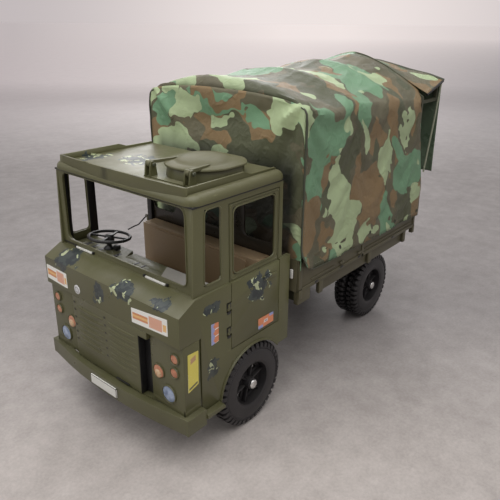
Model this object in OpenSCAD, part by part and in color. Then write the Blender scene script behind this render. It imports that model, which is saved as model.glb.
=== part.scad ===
// Toy military cargo truck: hollow moulded cab, canvas-topped load bed, four rolling wheels.
// +X is forward, +Y is the truck's left, +Z is up; wheels stand on z = 0. Millimetres.

/* [Wheels and axles] */
// radius over the tread of every wheel
wheel_r = 54; // [48:0.5:60]
// width of a single front tyre
tyre_w = 24; // [18:0.5:30]
// width of the double rear tyre
twin_w = 42; // [34:0.5:50]
// distance between the two axles
wheelbase = 337; // [300:1:400]
// half track to the outer face of the front tyres
front_face_y = 122; // [112:0.5:132]
// half track to the outer face of the rear tyres
rear_face_y = 97; // [90:0.5:112]
// diameter of the steel axle rods
axle_d = 6; // [4:0.1:9]
// radial play between an axle rod and a wheel hub
axle_play = 0.1; // [0.05:0.01:0.3]

/* [Cab] */
// half width of the lower cab body
cab_half_w = 121; // [105:0.5:135]
// how far the upper cab steps in from the belt on each side
belt_step = 3; // [1:0.5:8]
// wall thickness of the moulded shells
wall = 2.6; // [2:0.1:4]
// how far the front crease stands ahead of the front axle
crease_x = 115; // [100:0.5:130]
// how far the windscreen foot stands ahead of the front axle
screen_x = 92; // [80:0.5:105]
// how far the lower cab reaches behind the front axle
cab_rear = 68; // [55:0.5:85]
// how far the upper cab reaches behind the front axle
upper_rear = 54; // [45:0.5:75]
// height of the crease across the front
crease_z = 191; // [170:0.5:210]
// height of the belt ledge
belt_z = 203; // [185:0.5:225]
// height of the gutter edge of the roof
gutter_z = 299; // [260:0.5:330]
// height of the lower edge of the cab sides
sill_z = 88; // [75:0.5:100]
// height of the lower edge of the front band
band_z = 156; // [140:0.5:170]
// gap between a door and its opening
door_gap = 1; // [0.6:0.1:2]

/* [Load bed] */
// half width over the side boards
bed_half_w = 130; // [115:0.5:145]
// how far the bed starts behind the front axle
bed_front = 76; // [72:0.5:100]
// length of the load bed
bed_len = 327; // [280:1:380]
// height of the underside of the side boards
bed_z = 149; // [135:0.5:165]
// height of the side boards
board_h = 44; // [30:0.5:60]

/* [Canvas] */
// thickness of the canvas
canvas_t = 2; // [1.5:0.1:3]
// height of the canvas along its side edges
canvas_edge_z = 363; // [340:1:385]
// crown of the canvas at the front hoop
crown_front_z = 394; // [388:1:405]
// crown of the canvas at the rear hoop
crown_rear_z = 420; // [400:1:430]
// how far the rear flap reaches behind the bed
visor = 44; // [20:1:60]
// drop of the rear curtain below the canvas edge height
curtain_drop = 129; // [80:1:160]

/* [Hidden] */
$fn = 96;
eps = 0.01;
soft_gap = 0.4;
bump_lead = 10;
bump_depth = 9;
front_x = crease_x + bump_lead;
bed_rear = bed_front + bed_len;
back_x = bed_rear + visor;
plate_t = 1.6;
axle_x = (back_x - front_x - plate_t - 0.05) / 2;
rear_x = -wheelbase;
upper_half_w = cab_half_w - belt_step;
arch_r = wheel_r + 2.8;
lamp_x = crease_x - 4.5;
lamp_low = sill_z - 11;
grille_low = 71.5;
step_z = 61;
dash_z = belt_z - wall;
door_front = 38;
door_rear = -48;
door_low = 120;
door_top = gutter_z - 8;
hinge_x = door_front + 3.4;
hinge_y = cab_half_w - wall / 2;
hinge_zs = [145, 175];
hinge_pin_r = 0.9;
knuckle_r = 2.2;
slot_in = 54;
slot_out = 69;
pin_r = 1.2;
pin_play = 0.3;
roof_top = gutter_z + 10;
lip_z = gutter_z + 17;
wall_x = -upper_rear + 0.3;
hatch_x = 15;
hatch_y = 60;
hatch_r = 43;
hatch_base = roof_top;
collar_h = 11;
hatch_hinge_x = hatch_x + hatch_r + 5;
hatch_hinge_z = hatch_base + collar_h + 3;
steer_x = 59;
steer_y = -62;
steer_z = belt_z + 12.5;
steer_tilt = 7;
rail_y = 30;
rail_top = bed_z - 22;
rail_low = rail_top - 26;
rail_w = 6;
// the cab floor clears the wheels and never cuts the rails through
floor_z = max(wheel_r * 2 + 5, rail_low + 12);
bed_floor_t = 3;
board_t = 3.6;
board_top = bed_z + board_h;
tail_x = -bed_rear;
tail_pin_z = bed_z + 2.5;
canvas_half = bed_half_w + soft_gap + canvas_t;
canvas_low = bed_z + 27;
visor_edge_z = canvas_edge_z + 15;
visor_crown_z = crown_rear_z - 13;
cover_front = -bed_front + 2;
cover_rear = -bed_rear + 8;
hoop_xs = [-bed_front - 8, -bed_front - 110, -bed_front - 212, -bed_rear + 12];
hoop_d = 5;
leg_y = bed_half_w - board_t - hoop_d / 2 - 0.3;
bar_half = leg_y + hoop_d / 2;
bar_drop = canvas_t + 1;
green = "#5d6244";
dark_green = "#4c5038";
black = "#222224";
chrome = "#c9c9c9";
brown = "#6b5b43";
white = "#e8e4d8";
orange = "#c8643c";
canvas_col = "#5f7a55";

module place() translate([axle_x, 0, 0]) children();
module both() { children(); mirror([0, 1, 0]) children(); }
// plate in the XZ plane between two y values
module side_plate(y0, y1) translate([0, y1, 0]) rotate([90, 0, 0]) linear_extrude(y1 - y0) children();
// plate in the YZ plane, drawn as (y, z)
module cross_plate(x0, x1) translate([x0, 0, 0]) rotate([90, 0, 90]) linear_extrude(x1 - x0) children();
module rod_y(d, y0, y1) translate([0, y0, 0]) rotate([-90, 0, 0]) cylinder(d = d, h = y1 - y0);
module rod_x(d, x0, x1) translate([x0, 0, 0]) rotate([0, 90, 0]) cylinder(d = d, h = x1 - x0);
module round_rect(x0, z0, x1, z1, r) {
  translate([x0 + r, z0]) square([x1 - x0 - 2 * r, z1 - z0]);
  translate([x0, z0 + r]) square([x1 - x0, z1 - z0 - 2 * r]);
  for (x = [x0 + r, x1 - r]) for (z = [z0 + r, z1 - r]) translate([x, z]) circle(r);
}

// --- cab -------------------------------------------------------------------
module lower_side() {
  difference() {
    polygon([[crease_x, band_z], [crease_x, crease_z], [screen_x, belt_z], [-cab_rear, belt_z],
      [-cab_rear, sill_z], [-30, sill_z], [0, step_z], [crease_x - 30, step_z], [crease_x - 30, band_z]]);
    translate([0, wheel_r]) circle(arch_r);
    translate([door_rear, door_low]) square([door_front - door_rear, belt_z - door_low + 1]);
    for (z = hinge_zs) translate([door_front - 1, z - 6]) square([hinge_x - door_front + 5, 12]);
  }
}
module upper_side() {
  difference() {
    polygon([[screen_x, belt_z - wall], [screen_x - 4, gutter_z], [-upper_rear, gutter_z],
      [-upper_rear - 1, belt_z - wall]]);
    translate([door_rear, belt_z - wall - 1]) square([door_front - door_rear, door_top - belt_z + wall + 1]);
    polygon([[54, belt_z + 8], [54, gutter_z - 6], [73, gutter_z - 6], [76, belt_z + 8]]);
  }
}
module cab_shell() color(green) place() {
  both() {
    difference() {
      side_plate(cab_half_w - wall, cab_half_w) lower_side();
      for (z = hinge_zs) translate([hinge_x, hinge_y, z - 9]) cylinder(r = hinge_pin_r + 0.05, h = 18);
    }
    side_plate(upper_half_w - wall, upper_half_w) upper_side();
    // belt ledge joining the lower side to the upper side, clear of the doorway
    for (s = [[-cab_rear, door_rear], [door_front, screen_x]])
      translate([s[0], upper_half_w - wall, belt_z - wall]) cube([s[1] - s[0], cab_half_w - upper_half_w + wall, wall]);
    // flared lip round the wheel arch
    difference() {
      side_plate(cab_half_w - wall, cab_half_w + 1.5) difference() {
        translate([0, wheel_r]) circle(arch_r + 1.6);
        translate([0, wheel_r]) circle(arch_r);
      }
      translate([-90, 0, -20]) cube([200, 200, step_z + 20]);
      translate([-90, 0, -20]) cube([90, 200, sill_z + 20]);
    }
  }
  // front band, hood slope and windscreen frame
  cross_plate(crease_x - wall, crease_x) translate([-cab_half_w, band_z]) square([cab_half_w * 2, crease_z - band_z]);
  side_plate(-cab_half_w, cab_half_w) polygon([[crease_x, crease_z - 0.5], [crease_x, crease_z], [screen_x, belt_z],
    [screen_x - 6, belt_z], [screen_x - 6, belt_z - wall], [screen_x - 1, belt_z - wall], [crease_x - wall, crease_z - wall]]);
  translate([screen_x - 4 - wall, 0, 0]) cross_plate(0, wall) difference() {
    translate([-upper_half_w, belt_z - wall]) square([upper_half_w * 2, gutter_z - belt_z + wall]);
    translate([0, 0]) round_rect(-upper_half_w + 12, belt_z + 7, upper_half_w - 12, gutter_z - 8, 10);
  }
}
module rear_wall() color(green) place() {
  half = upper_half_w - wall - 0.3;
  low_half = cab_half_w - wall - 0.3;
  translate([wall_x, 0, 0]) cross_plate(0, wall) difference() {
    translate([-half, belt_z - wall]) square([half * 2, gutter_z - belt_z + wall - 0.3]);
    round_rect(-44, belt_z + 14, 44, gutter_z - 22, 8);
    both_flat() round_rect(62, belt_z + 14, 106, gutter_z - 22, 8);
  }
  translate([-cab_rear, -half, belt_z - wall]) cube([wall_x + cab_rear + wall, half * 2, wall]);
  translate([-cab_rear, -low_half, floor_z + 0.3]) cube([wall, low_half * 2, belt_z - floor_z - wall - 0.6]);
  translate([-cab_rear, -half, belt_z - wall - 1]) cube([wall, half * 2, 2]);
}
module both_flat() { children(); mirror([1, 0]) children(); }
module roof() color(green) place() {
  difference() {
    union() {
      // gutter skirt and stepped crown
      translate([-upper_rear - 6, -upper_half_w - 1.5, gutter_z]) cube([screen_x + upper_rear + 4, upper_half_w * 2 + 3, 3]);
      translate([-upper_rear - 3, -upper_half_w + 5, gutter_z + 2]) cube([screen_x + upper_rear - 2, upper_half_w * 2 - 10, roof_top - gutter_z - 2]);
      // raised lip round the front half
      translate([screen_x - 8, -upper_half_w + 10, roof_top - 1]) cube([3, upper_half_w * 2 - 20, lip_z - roof_top + 1]);
      both() {
        translate([-3, upper_half_w - 13, roof_top - 1]) cube([screen_x - 5, 3, lip_z - roof_top + 1]);
        translate([-upper_rear - 3, upper_half_w - 13, roof_top - 1]) cube([upper_rear + 1, 3, 3]);
      }
    }
    translate([-upper_rear - 0.5, -upper_half_w + 7.5, gutter_z - 1]) cube([screen_x + upper_rear - 7, upper_half_w * 2 - 15, roof_top - gutter_z - 1.6]);
    translate([hatch_x, hatch_y, gutter_z - 2]) cylinder(r = hatch_r - 3.4, h = 20);
  }
}
module cab_floor() color(dark_green) place() {
  translate([-cab_rear + wall + 0.3, -cab_half_w + wall + 0.3, floor_z]) cube([cab_rear + 86, (cab_half_w - wall - 0.3) * 2, 3]);
  // foot board rising behind the front band
  translate([85.6, -cab_half_w + wall + 0.3, floor_z]) cube([3, (cab_half_w - wall - 0.3) * 2, 60]);
}
module dashboard() color(green) place() {
  half = upper_half_w - wall - 0.3;
  difference() {
    translate([0, 0, dash_z - 12]) linear_extrude(12)
      polygon([[85.4, -half], [85.4, half], [64, half], [64, -24], [46, -34], [46, -half]]);
    for (y = [-98, -84, -70, -40]) translate([70, y, dash_z - 2]) cube([9, 6, 3]);
    for (y = [-2, 10]) translate([72, y, dash_z - 2]) cube([5, 4, 3]);
    translate([0, 0, dash_z - 13]) linear_extrude(10)
      polygon([[82.4, 3 - half], [82.4, half - 3], [67, half - 3], [67, -25], [49, -35.4], [49, 3 - half]]);
  }
}
module bench_seat() color(brown) place() {
  x0 = wall_x + wall + 0.3;
  difference() {
    union() {
      translate([x0, -105, floor_z + 3]) cube([22, 210, 85]);
      translate([x0, -105, floor_z + 3]) cube([62, 210, 26]);
    }
    translate([x0 + 3, -102, floor_z + 2]) cube([16, 204, 80]);
    translate([x0 + 3, -102, floor_z + 2]) cube([56, 204, 22]);
  }
  // raised back pads
  for (y = [-84, 17]) translate([x0 + 22 - eps, 0, 0]) cross_plate(0, 2.5) round_rect(y, floor_z + 36, y + 68, floor_z + 85, 6);
}
module steer_place() place() translate([steer_x, steer_y, steer_z]) rotate([0, -steer_tilt, 0]) children();
module steering_column() color(black) difference() {
  union() {
    steer_place() translate([0, 0, -16]) cylinder(d = 6, h = 12.5);
    place() translate([steer_x + 1.2, steer_y, dash_z + 0.2]) cylinder(d = 14, h = 4);
    place() translate([steer_x - 5, steer_y + 9, dash_z + 0.2]) cube([7, 6, 6]);
    place() translate([steer_x - 3, steer_y, dash_z + 0.2]) cube([4, 14, 3]);
  }
  place() translate([steer_x - 20, steer_y - 20, dash_z - 20]) cube([40, 40, 20.2]);
}
module steering_wheel() color(black) steer_place() {
  rotate_extrude() translate([25, 0]) circle(1.9);
  difference() { translate([0, 0, -6]) cylinder(d = 12, h = 9); translate([0, 0, -7]) cylinder(d = 6.2, h = 4.3); }
  for (a = [30, 120, 210, 300]) rotate([0, 0, a]) translate([4, -1.5, -1.2]) cube([20.5, 3, 2.4]);
}
module grille_panel() color(green) place() difference() {
  union() {
    translate([lamp_x - 8, 0.5 - slot_out, grille_low]) cube([crease_x - lamp_x + 8, slot_in + slot_out - 0.5, band_z - 9 - grille_low]);
    translate([lamp_x - 8, 0.5 - slot_out, band_z - 9.5]) cube([crease_x - lamp_x + 8, slot_out * 2 - 1, 9.2]);
  }
  translate([lamp_x - 9, 3.5 - slot_out, grille_low - 1]) cube([10, slot_in + slot_out - 6.5, band_z - 13 - grille_low]);
}
module lamp_panel() {
  translate([lamp_x - wall, slot_out, lamp_low]) cube([wall, cab_half_w - slot_out, band_z - lamp_low - 0.3]);
  translate([crease_x - 28, cab_half_w - wall, lamp_low]) cube([lamp_x - crease_x + 28 - 1, wall, band_z - lamp_low - 0.3]);
}
module lamp_panel_left() color(green) place() lamp_panel();
module lamp_panel_right() color(green) place() mirror([0, 1, 0]) lamp_panel();
module slot_panel() color(black) place()
  translate([lamp_x - 7, slot_in + 0.3, grille_low]) cube([2.5, slot_out - slot_in - 0.6, band_z - 9.8 - grille_low]);
module headlamps() color(white) place() both() translate([lamp_x + 0.1, 97, 90]) rod_x(22, 0, 3);
module marker_lamps() color(orange) place() both() {
  translate([lamp_x + 0.1, 108, 138]) rod_x(13, 0, 3.5);
  translate([lamp_x + 0.1, 107, 121]) rod_x(13, 0, 3.5);
  translate([lamp_x + 0.1, 84.5, 112]) rod_x(14, 0, 2);
}
module bumper() color(green) place() {
  bow = 12;
  half = cab_half_w + 7;
  sag_r = (half * half + bow * bow) / (2 * bow);
  translate([0, 0, 51]) difference() {
    linear_extrude(20) union() {
      difference() {
        intersection() { translate([front_x - sag_r, 0]) circle(sag_r, $fn = 360); translate([front_x - 40, -half]) square([41, half * 2]); }
        translate([front_x - sag_r - bump_depth, 0]) circle(sag_r, $fn = 360);
      }
      for (s = [-1, 1]) translate([86, s > 0 ? half - 9 : -half]) square([front_x - bow - 86 + 1, 9]);
    }
    translate([70, -half + 3, -1]) cube([front_x - bow - 70 - 8, half * 2 - 6, 18]);
  }
  // two arms tying the bumper back to the chassis rails
  both() translate([96.3, rail_y - 3, 54]) cube([front_x - bump_depth - 96.3 + 0.6, 6, 12]);
}
module number_plate() color(white) place() translate([front_x + 0.05, -27, 55]) cube([plate_t, 50, 12.5]);
module cab_steps() color(green) place() both() {
  translate([arch_r + 2.2, cab_half_w + 0.3, step_z - 0.5]) cube([83.4 - arch_r, 8.7, 3]);
  translate([arch_r + 0.5, cab_half_w - 12, step_z - 3.3]) cube([85.1 - arch_r, 21, 3]);
}
module wiper_bars() color(white) place() for (y = [-72, 58])
  translate([screen_x - 3.7, y - 16, belt_z + 0.2]) cube([2.6, 32, 2.4]);

// --- door, front-hung on an outside pin --------------------------------------
module door_left() color(green) place() {
  difference() {
    union() {
      side_plate(cab_half_w - wall, cab_half_w) translate([door_rear + door_gap, door_low + door_gap])
        square([door_front - door_rear - 2 * door_gap, belt_z - door_low - 2 * door_gap]);
      side_plate(upper_half_w - wall, upper_half_w) difference() {
        translate([door_rear + door_gap, belt_z - wall - door_gap]) square([door_front - door_rear - 2 * door_gap, door_top - belt_z + wall]);
        round_rect(door_rear + 7.5, belt_z + 6, door_front - 6, door_top - 5, 4);
      }
      side_plate(upper_half_w - wall, cab_half_w) translate([door_rear + door_gap, belt_z - wall - door_gap])
        square([door_front - door_rear - 2 * door_gap, wall]);
      translate([door_rear + 8, cab_half_w - eps, belt_z - 17]) cube([14, 2.2, 4]);
      for (z = hinge_zs) {
        translate([hinge_x, hinge_y, z - 4]) cylinder(r = knuckle_r, h = 8);
        translate([door_front - 2, cab_half_w - wall, z - 4]) cube([hinge_x - door_front + 2, wall, 8]);
      }
    }
    for (z = hinge_zs) translate([hinge_x, hinge_y, z - 5]) cylinder(r = hinge_pin_r + 0.2, h = 10);
  }
}
module door_hinge_pin() color(chrome) place() for (z = hinge_zs)
  translate([hinge_x, hinge_y, z - 8.9]) cylinder(r = hinge_pin_r, h = 17.8);

// --- roof hatch --------------------------------------------------------------
module hatch_collar() color(green) place() {
  translate([hatch_x, hatch_y, hatch_base + 0.1]) difference() {
    cylinder(r = hatch_r, h = collar_h);
    translate([0, 0, -1]) cylinder(r = hatch_r - 3, h = collar_h + 2);
  }
}
module hatch_ears() color(green) place() {
  for (y = [hatch_y - 32, hatch_y + 28]) for (s = [0, 7.5])
    translate([hatch_hinge_x - 4, y + s - 4.75, hatch_base + 0.1]) difference() {
      cube([8, 2, collar_h + 7]);
      translate([4, -1, collar_h + 3 - 0.1]) rod_y(pin_r * 2 + 2 * pin_play, 0, 5);
    }
  difference() {
    translate([hatch_hinge_x - 12, hatch_y - 40, hatch_base + 0.1]) cube([16, 80, 2]);
    translate([hatch_x, hatch_y, hatch_base - 1]) cylinder(r = hatch_r + 0.1, h = 4);
  }
}
module hatch_pin() color(chrome) place() translate([hatch_hinge_x, 0, hatch_hinge_z])
  for (y = [hatch_y - 32, hatch_y + 28]) rod_pin(y);
module rod_pin(y) translate([0, y, 0]) rod_y(pin_r * 2, -6, 7);
module hatch_lid() color(green) place() {
  lid_z = hatch_base + collar_h + 0.7;
  difference() {
    union() {
      translate([hatch_x, hatch_y, lid_z]) cylinder(r = hatch_r + 1.5, h = 3);
      translate([hatch_x, hatch_y, lid_z]) rotate_extrude() difference() {
        translate([0, -120 + 10]) circle(120, $fn = 360);
        translate([-130, -240]) square([130, 360]);
        translate([-1, -240]) square([200, 240]);
        translate([hatch_r - 1, -1]) square([200, 200]);
      }
      for (y = [hatch_y - 32, hatch_y + 28]) {
        translate([hatch_x + 8, y - 2.2, lid_z + 1]) cube([hatch_hinge_x - hatch_x - 8, 4.4, 4.5]);
        translate([hatch_hinge_x, y - 2.2, hatch_hinge_z]) rod_y(7.4, 0, 4.4);
      }
    }
    for (y = [hatch_y - 32, hatch_y + 28]) translate([hatch_hinge_x, y - 3, hatch_hinge_z]) rod_y(pin_r * 2 + 2 * pin_play, 0, 7);
    translate([hatch_x, hatch_y, lid_z - 1]) cylinder(r = hatch_r - 8, h = 4);
  }
}

// --- chassis and running gear ------------------------------------------------
module under_cab_floor() translate([-cab_rear - 1.5, -60, floor_z - 0.3]) cube([210, 120, 60]);
module chassis_rails() color(dark_green) place() difference() {
  both() {
    translate([-bed_rear + 10, rail_y - rail_w / 2, rail_low]) cube([bed_rear + 68, rail_w, rail_top - rail_low]);
    translate([60, rail_y - rail_w / 2, 53]) cube([36, rail_w, rail_low - 53 + 9]);
    for (x = [0, rear_x]) translate([x - 15, rail_y - rail_w / 2, wheel_r - 9]) cube([30, rail_w, rail_low - wheel_r + 10]);
  }
  for (x = [0, rear_x]) translate([x, 0, wheel_r]) rod_y(axle_d + 0.1, -60, 60);
  under_cab_floor();
}
module cross_members() color(dark_green) place() difference() {
  for (x = [70, 25, -55, -120, -200, -280, -375])
    translate([x, rail_w / 2 + 0.05 - rail_y, rail_low + 2]) cube([6, rail_y * 2 - rail_w - 0.1, rail_top - rail_low - 6]);
  under_cab_floor();
}
module axle(x, face) translate([x, 0, wheel_r]) {
  rod_y(axle_d, -face + 1, face - 1);
  for (s = [-1, 1]) translate([0, s > 0 ? face - 1.5 : -face - 1.5, 0]) rod_y(12, 0, 3);
}
module front_axle() color(chrome) place() axle(0, front_face_y + 1.2);
module rear_axle() color(chrome) place() axle(rear_x, rear_face_y + 1.2);
// one moulded wheel, outer face at y = 0, body towards -y
module wheel_body(w) rotate([-90, 0, 0]) {
  rotate_extrude() polygon([[27, 0], [46, 0], [wheel_r, -4.5], [wheel_r, -w + 4.5], [46, -w], [27, -w]]);
  wheel_hub(w, w / 2);
}
module wheel_hub(w, web_y) difference() {
  union() {
    translate([0, 0, -w + 1.5]) cylinder(r = 8, h = w - 3);
    translate([0, 0, -web_y]) cylinder(r = 28, h = 4);
  }
  translate([0, 0, -w - 1]) cylinder(r = axle_d / 2 + axle_play, h = w + 2);
  for (a = [0:60:300]) rotate([0, 0, a + 30]) translate([17.5, 0, -web_y - 1]) cylinder(r = 6.2, h = 6);
}
module single_wheel() wheel_body(tyre_w);
module twin_wheel() rotate([-90, 0, 0]) {
  half = (twin_w - 3) / 2;
  rotate_extrude() polygon([[27, 0], [46, 0], [wheel_r, -4.5], [wheel_r, -half + 3], [47, -half], [47, -half - 3], [wheel_r, -half - 6],
    [wheel_r, -twin_w + 4.5], [46, -twin_w], [27, -twin_w]]);
  wheel_hub(twin_w, 13);
}
module front_wheel_left() color(black) place() translate([0, front_face_y, wheel_r]) single_wheel();
module front_wheel_right() color(black) place() mirror([0, 1, 0]) translate([0, front_face_y, wheel_r]) single_wheel();
module rear_wheel_left() color(black) place() translate([rear_x, rear_face_y, wheel_r]) twin_wheel();
module rear_wheel_right() color(black) place() mirror([0, 1, 0]) translate([rear_x, rear_face_y, wheel_r]) twin_wheel();

// --- load bed ----------------------------------------------------------------
// floor panel, notched at its edges for the feet of the hoops
module bed_floor() color(green) place() difference() {
  translate([-bed_rear + 5.6, -bed_half_w + board_t + 0.3, bed_z])
    cube([bed_len - 9.6, (bed_half_w - board_t - 0.3) * 2, bed_floor_t]);
  both() for (x = hoop_xs) translate([x - hoop_d / 2 - 0.7, leg_y - hoop_d / 2 - 0.7, bed_z - 1])
    cube([hoop_d + 1.4, hoop_d + 5, bed_floor_t + 2]);
}
module bed_bearers() color(dark_green) place() for (x = [-100, -170, -250, -310, -385])
  translate([x, -bed_half_w + 10, rail_top]) cube([8, (bed_half_w - 10) * 2, bed_z - rail_top]);
module side_board() {
  translate([-bed_rear + 0.5, bed_half_w - board_t, bed_z]) cube([bed_len - 1, board_t, board_h]);
}
module side_board_left() color(green) place() side_board();
module side_board_right() color(green) place() mirror([0, 1, 0]) side_board();
module headboard() color(green) place() translate([-bed_front - 3.7, -bed_half_w + board_t + 0.3, bed_z])
  cube([3.2, (bed_half_w - board_t - 0.3) * 2, board_h]);
module tailgate() color(green) place() difference() {
  union() {
    translate([tail_x + 0.3, -bed_half_w + board_t + 1, bed_z + 4]) cube([3.4, (bed_half_w - board_t - 1) * 2, board_h - 4]);
    for (y = [-80, 0, 80]) translate([tail_x + 1.5, y - 8, tail_pin_z]) rod_y(5.4, 0, 16);
    for (y = [-80, 0, 80]) translate([tail_x + 0.3, y - 8, tail_pin_z]) cube([2.4, 16, 4]);
  }
  for (y = [-80, 0, 80]) translate([tail_x + 1.5, y - 9, tail_pin_z]) rod_y(pin_r * 2 + 2 * pin_play, 0, 18);
}
module tailgate_pin() color(chrome) place() translate([tail_x + 1.5, 0, tail_pin_z])
  rod_y(pin_r * 2, -bed_half_w + board_t + 0.3, bed_half_w - board_t - 0.3);
module bed_skirts() color(green) place() both()
  translate([-373, bed_half_w - 8, bed_z - 19]) cube([246, 3, 19]);
module board_latches() color(chrome) place() both() for (x = [-181, -228])
  translate([x, bed_half_w, bed_z + 2]) cube([11, 1.8, 6]);
// height of the canvas profile at y: edge height, crown height and how square its shoulders are
function profile_z(y, edge, crown, power) = edge + (crown - edge) * (1 - pow(abs(y) / canvas_half, power));
function profile(edge, crown, power, inset, low) = [
  [canvas_half - inset, low],
  for (i = [9:-1:-9]) let (y = canvas_half * i / 9)
    [(canvas_half - inset) * i / 9, profile_z(y, edge, crown, power) - inset],
  [inset - canvas_half, low]];
module slice(x, edge, crown, power, inset, low)
  translate([x, 0, 0]) rotate([90, 0, 90]) linear_extrude(0.2) polygon(profile(edge, crown, power, inset, low));
module cover_block(inset, x0, x1, low) hull() {
  slice(x0 - 0.2, canvas_edge_z + 5, crown_front_z, 4, inset, low);
  slice(x1, canvas_edge_z, crown_rear_z, 1.5, inset, low);
}
module visor_block(inset, x0, x1) hull() {
  slice(x0, canvas_edge_z, crown_rear_z, 1.5, inset, canvas_edge_z - 25);
  slice(x1, visor_edge_z, visor_crown_z, 1.8, inset, canvas_edge_z - 25);
}
// share of the way from the front of the cover to its rear
function along(x) = (cover_front - x) / (cover_front - cover_rear);
function canvas_z(x, y) = profile_z(y, canvas_edge_z + 5, crown_front_z, 4) * (1 - along(x))
  + profile_z(y, canvas_edge_z, crown_rear_z, 1.5) * along(x);
function visor_z(y) = profile_z(y, visor_edge_z, visor_crown_z, 1.8);
// bar bent to follow heights given every ninth of the way from the centre to a leg
module bent_bar(x, zs) cross_plate(x - hoop_d / 2, x + hoop_d / 2) polygon(concat(
  [for (i = [9:-1:-9]) [bar_half * i / 9, zs[abs(i)] - bar_drop]],
  [for (i = [-9:9]) [bar_half * i / 9, zs[abs(i)] - bar_drop - hoop_d]]));
module canopy_frame() color(dark_green) place() {
  for (x = hoop_xs) {
    bent_bar(x, [for (i = [0:9]) canvas_z(x, canvas_half * i / 9)]);
    both() translate([x - hoop_d / 2, leg_y - hoop_d / 2, bed_z])
      cube([hoop_d, hoop_d, canvas_z(x, canvas_half) - bar_drop - bed_z - 1]);
  }
  // arms from the rear hoop to the header bar of the visor
  both() translate([-back_x + 3, leg_y - hoop_d / 2, canvas_edge_z - 14]) cube([back_x - bed_rear + 12, hoop_d, hoop_d]);
  both() translate([-back_x + 3, leg_y - hoop_d / 2, canvas_edge_z - 14])
    cube([hoop_d, hoop_d, visor_edge_z - canvas_edge_z + 13 - bar_drop]);
  bent_bar(-back_x + 3 + hoop_d / 2, [for (i = [0:9]) visor_z(canvas_half * i / 9)]);
}
module canopy_cover() color(canvas_col) place() difference() {
  union() {
    difference() {
      cover_block(0, cover_front, cover_rear, canvas_low);
      cover_block(canvas_t, cover_front - canvas_t, cover_rear - 1, canvas_low - 1);
    }
    difference() {
      visor_block(0, cover_rear, -back_x);
      visor_block(canvas_t, cover_rear + 1, -back_x - 1);
      translate([-back_x - 5, -canvas_half - 5, canvas_edge_z - 30]) cube([back_x - bed_rear + 20, canvas_half * 2 + 10, 28]);
    }
  }
  // the side sheets are cut back at the top rear corner
  side_plate(-canvas_half - 1, canvas_half + 1) polygon([[cover_rear - 1, canvas_low + 50], [cover_rear + 10, canvas_low + 110],
    [cover_rear + 22, canvas_edge_z - 4], [cover_rear - 1, canvas_edge_z - 4]]);
}
module rear_curtain() color(canvas_col) place() cross_plate(-back_x, -back_x + 1.6)
  polygon(profile(visor_edge_z, visor_crown_z, 1.8, canvas_t + soft_gap, canvas_edge_z - curtain_drop));

cab_shell();
rear_wall();
roof();
cab_floor();
dashboard();
bench_seat();
steering_column();
steering_wheel();
grille_panel();
lamp_panel_left();
lamp_panel_right();
slot_panel();
headlamps();
marker_lamps();
bumper();
number_plate();
cab_steps();
wiper_bars();
door_left();
door_hinge_pin();
hatch_collar();
hatch_ears();
hatch_pin();
hatch_lid();
chassis_rails();
cross_members();
front_axle();
rear_axle();
front_wheel_left();
front_wheel_right();
rear_wheel_left();
rear_wheel_right();
bed_floor();
bed_bearers();
side_board_left();
side_board_right();
headboard();
tailgate();
tailgate_pin();
bed_skirts();
board_latches();
canopy_frame();
canopy_cover();
rear_curtain();
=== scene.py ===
import math
import bpy
import bmesh
from mathutils import Matrix, Vector, noise


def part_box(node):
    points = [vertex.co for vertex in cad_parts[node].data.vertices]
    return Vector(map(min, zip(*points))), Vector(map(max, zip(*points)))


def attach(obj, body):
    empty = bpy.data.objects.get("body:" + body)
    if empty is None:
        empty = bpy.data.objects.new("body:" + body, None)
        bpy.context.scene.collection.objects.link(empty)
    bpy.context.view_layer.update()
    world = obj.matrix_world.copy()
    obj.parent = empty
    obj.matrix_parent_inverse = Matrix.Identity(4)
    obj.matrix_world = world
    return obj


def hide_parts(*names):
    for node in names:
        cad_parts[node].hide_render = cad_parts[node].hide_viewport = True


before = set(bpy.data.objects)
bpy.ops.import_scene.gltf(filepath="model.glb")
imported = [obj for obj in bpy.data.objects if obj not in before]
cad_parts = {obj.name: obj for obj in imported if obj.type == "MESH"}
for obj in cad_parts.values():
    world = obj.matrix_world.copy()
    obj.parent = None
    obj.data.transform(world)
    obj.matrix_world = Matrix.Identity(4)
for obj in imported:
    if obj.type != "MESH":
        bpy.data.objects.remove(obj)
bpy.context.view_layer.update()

mm = 0.001
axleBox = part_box("front_axle")
axleX = (axleBox[0].x + axleBox[1].x) / 2          # the front axle is the zero of every x below
intoFrame = Matrix.Translation((axleX, 0, 0)) @ Matrix.Diagonal((mm, mm, mm, 1))
truck = "truck"

# camera, then everything else: there are no cords on this toy
view = {"place": (0.6016, 0.4876, 0.4678), "turn": (69.456, -0.436, 130.345), "lens": 40.53, "shiftY": -0.0398}
cameraData = bpy.data.cameras.new("camera")
camera = bpy.data.objects.new("camera", cameraData)
bpy.context.scene.collection.objects.link(camera)
camera.location = view["place"]
camera.rotation_euler = [math.radians(a) for a in view["turn"]]
cameraData.lens = view["lens"]
cameraData.sensor_width = 36
cameraData.shift_y = view["shiftY"]
cameraData.clip_start = 0.01
bpy.context.scene.camera = camera
bpy.context.scene.view_settings.view_transform = "Standard"


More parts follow.
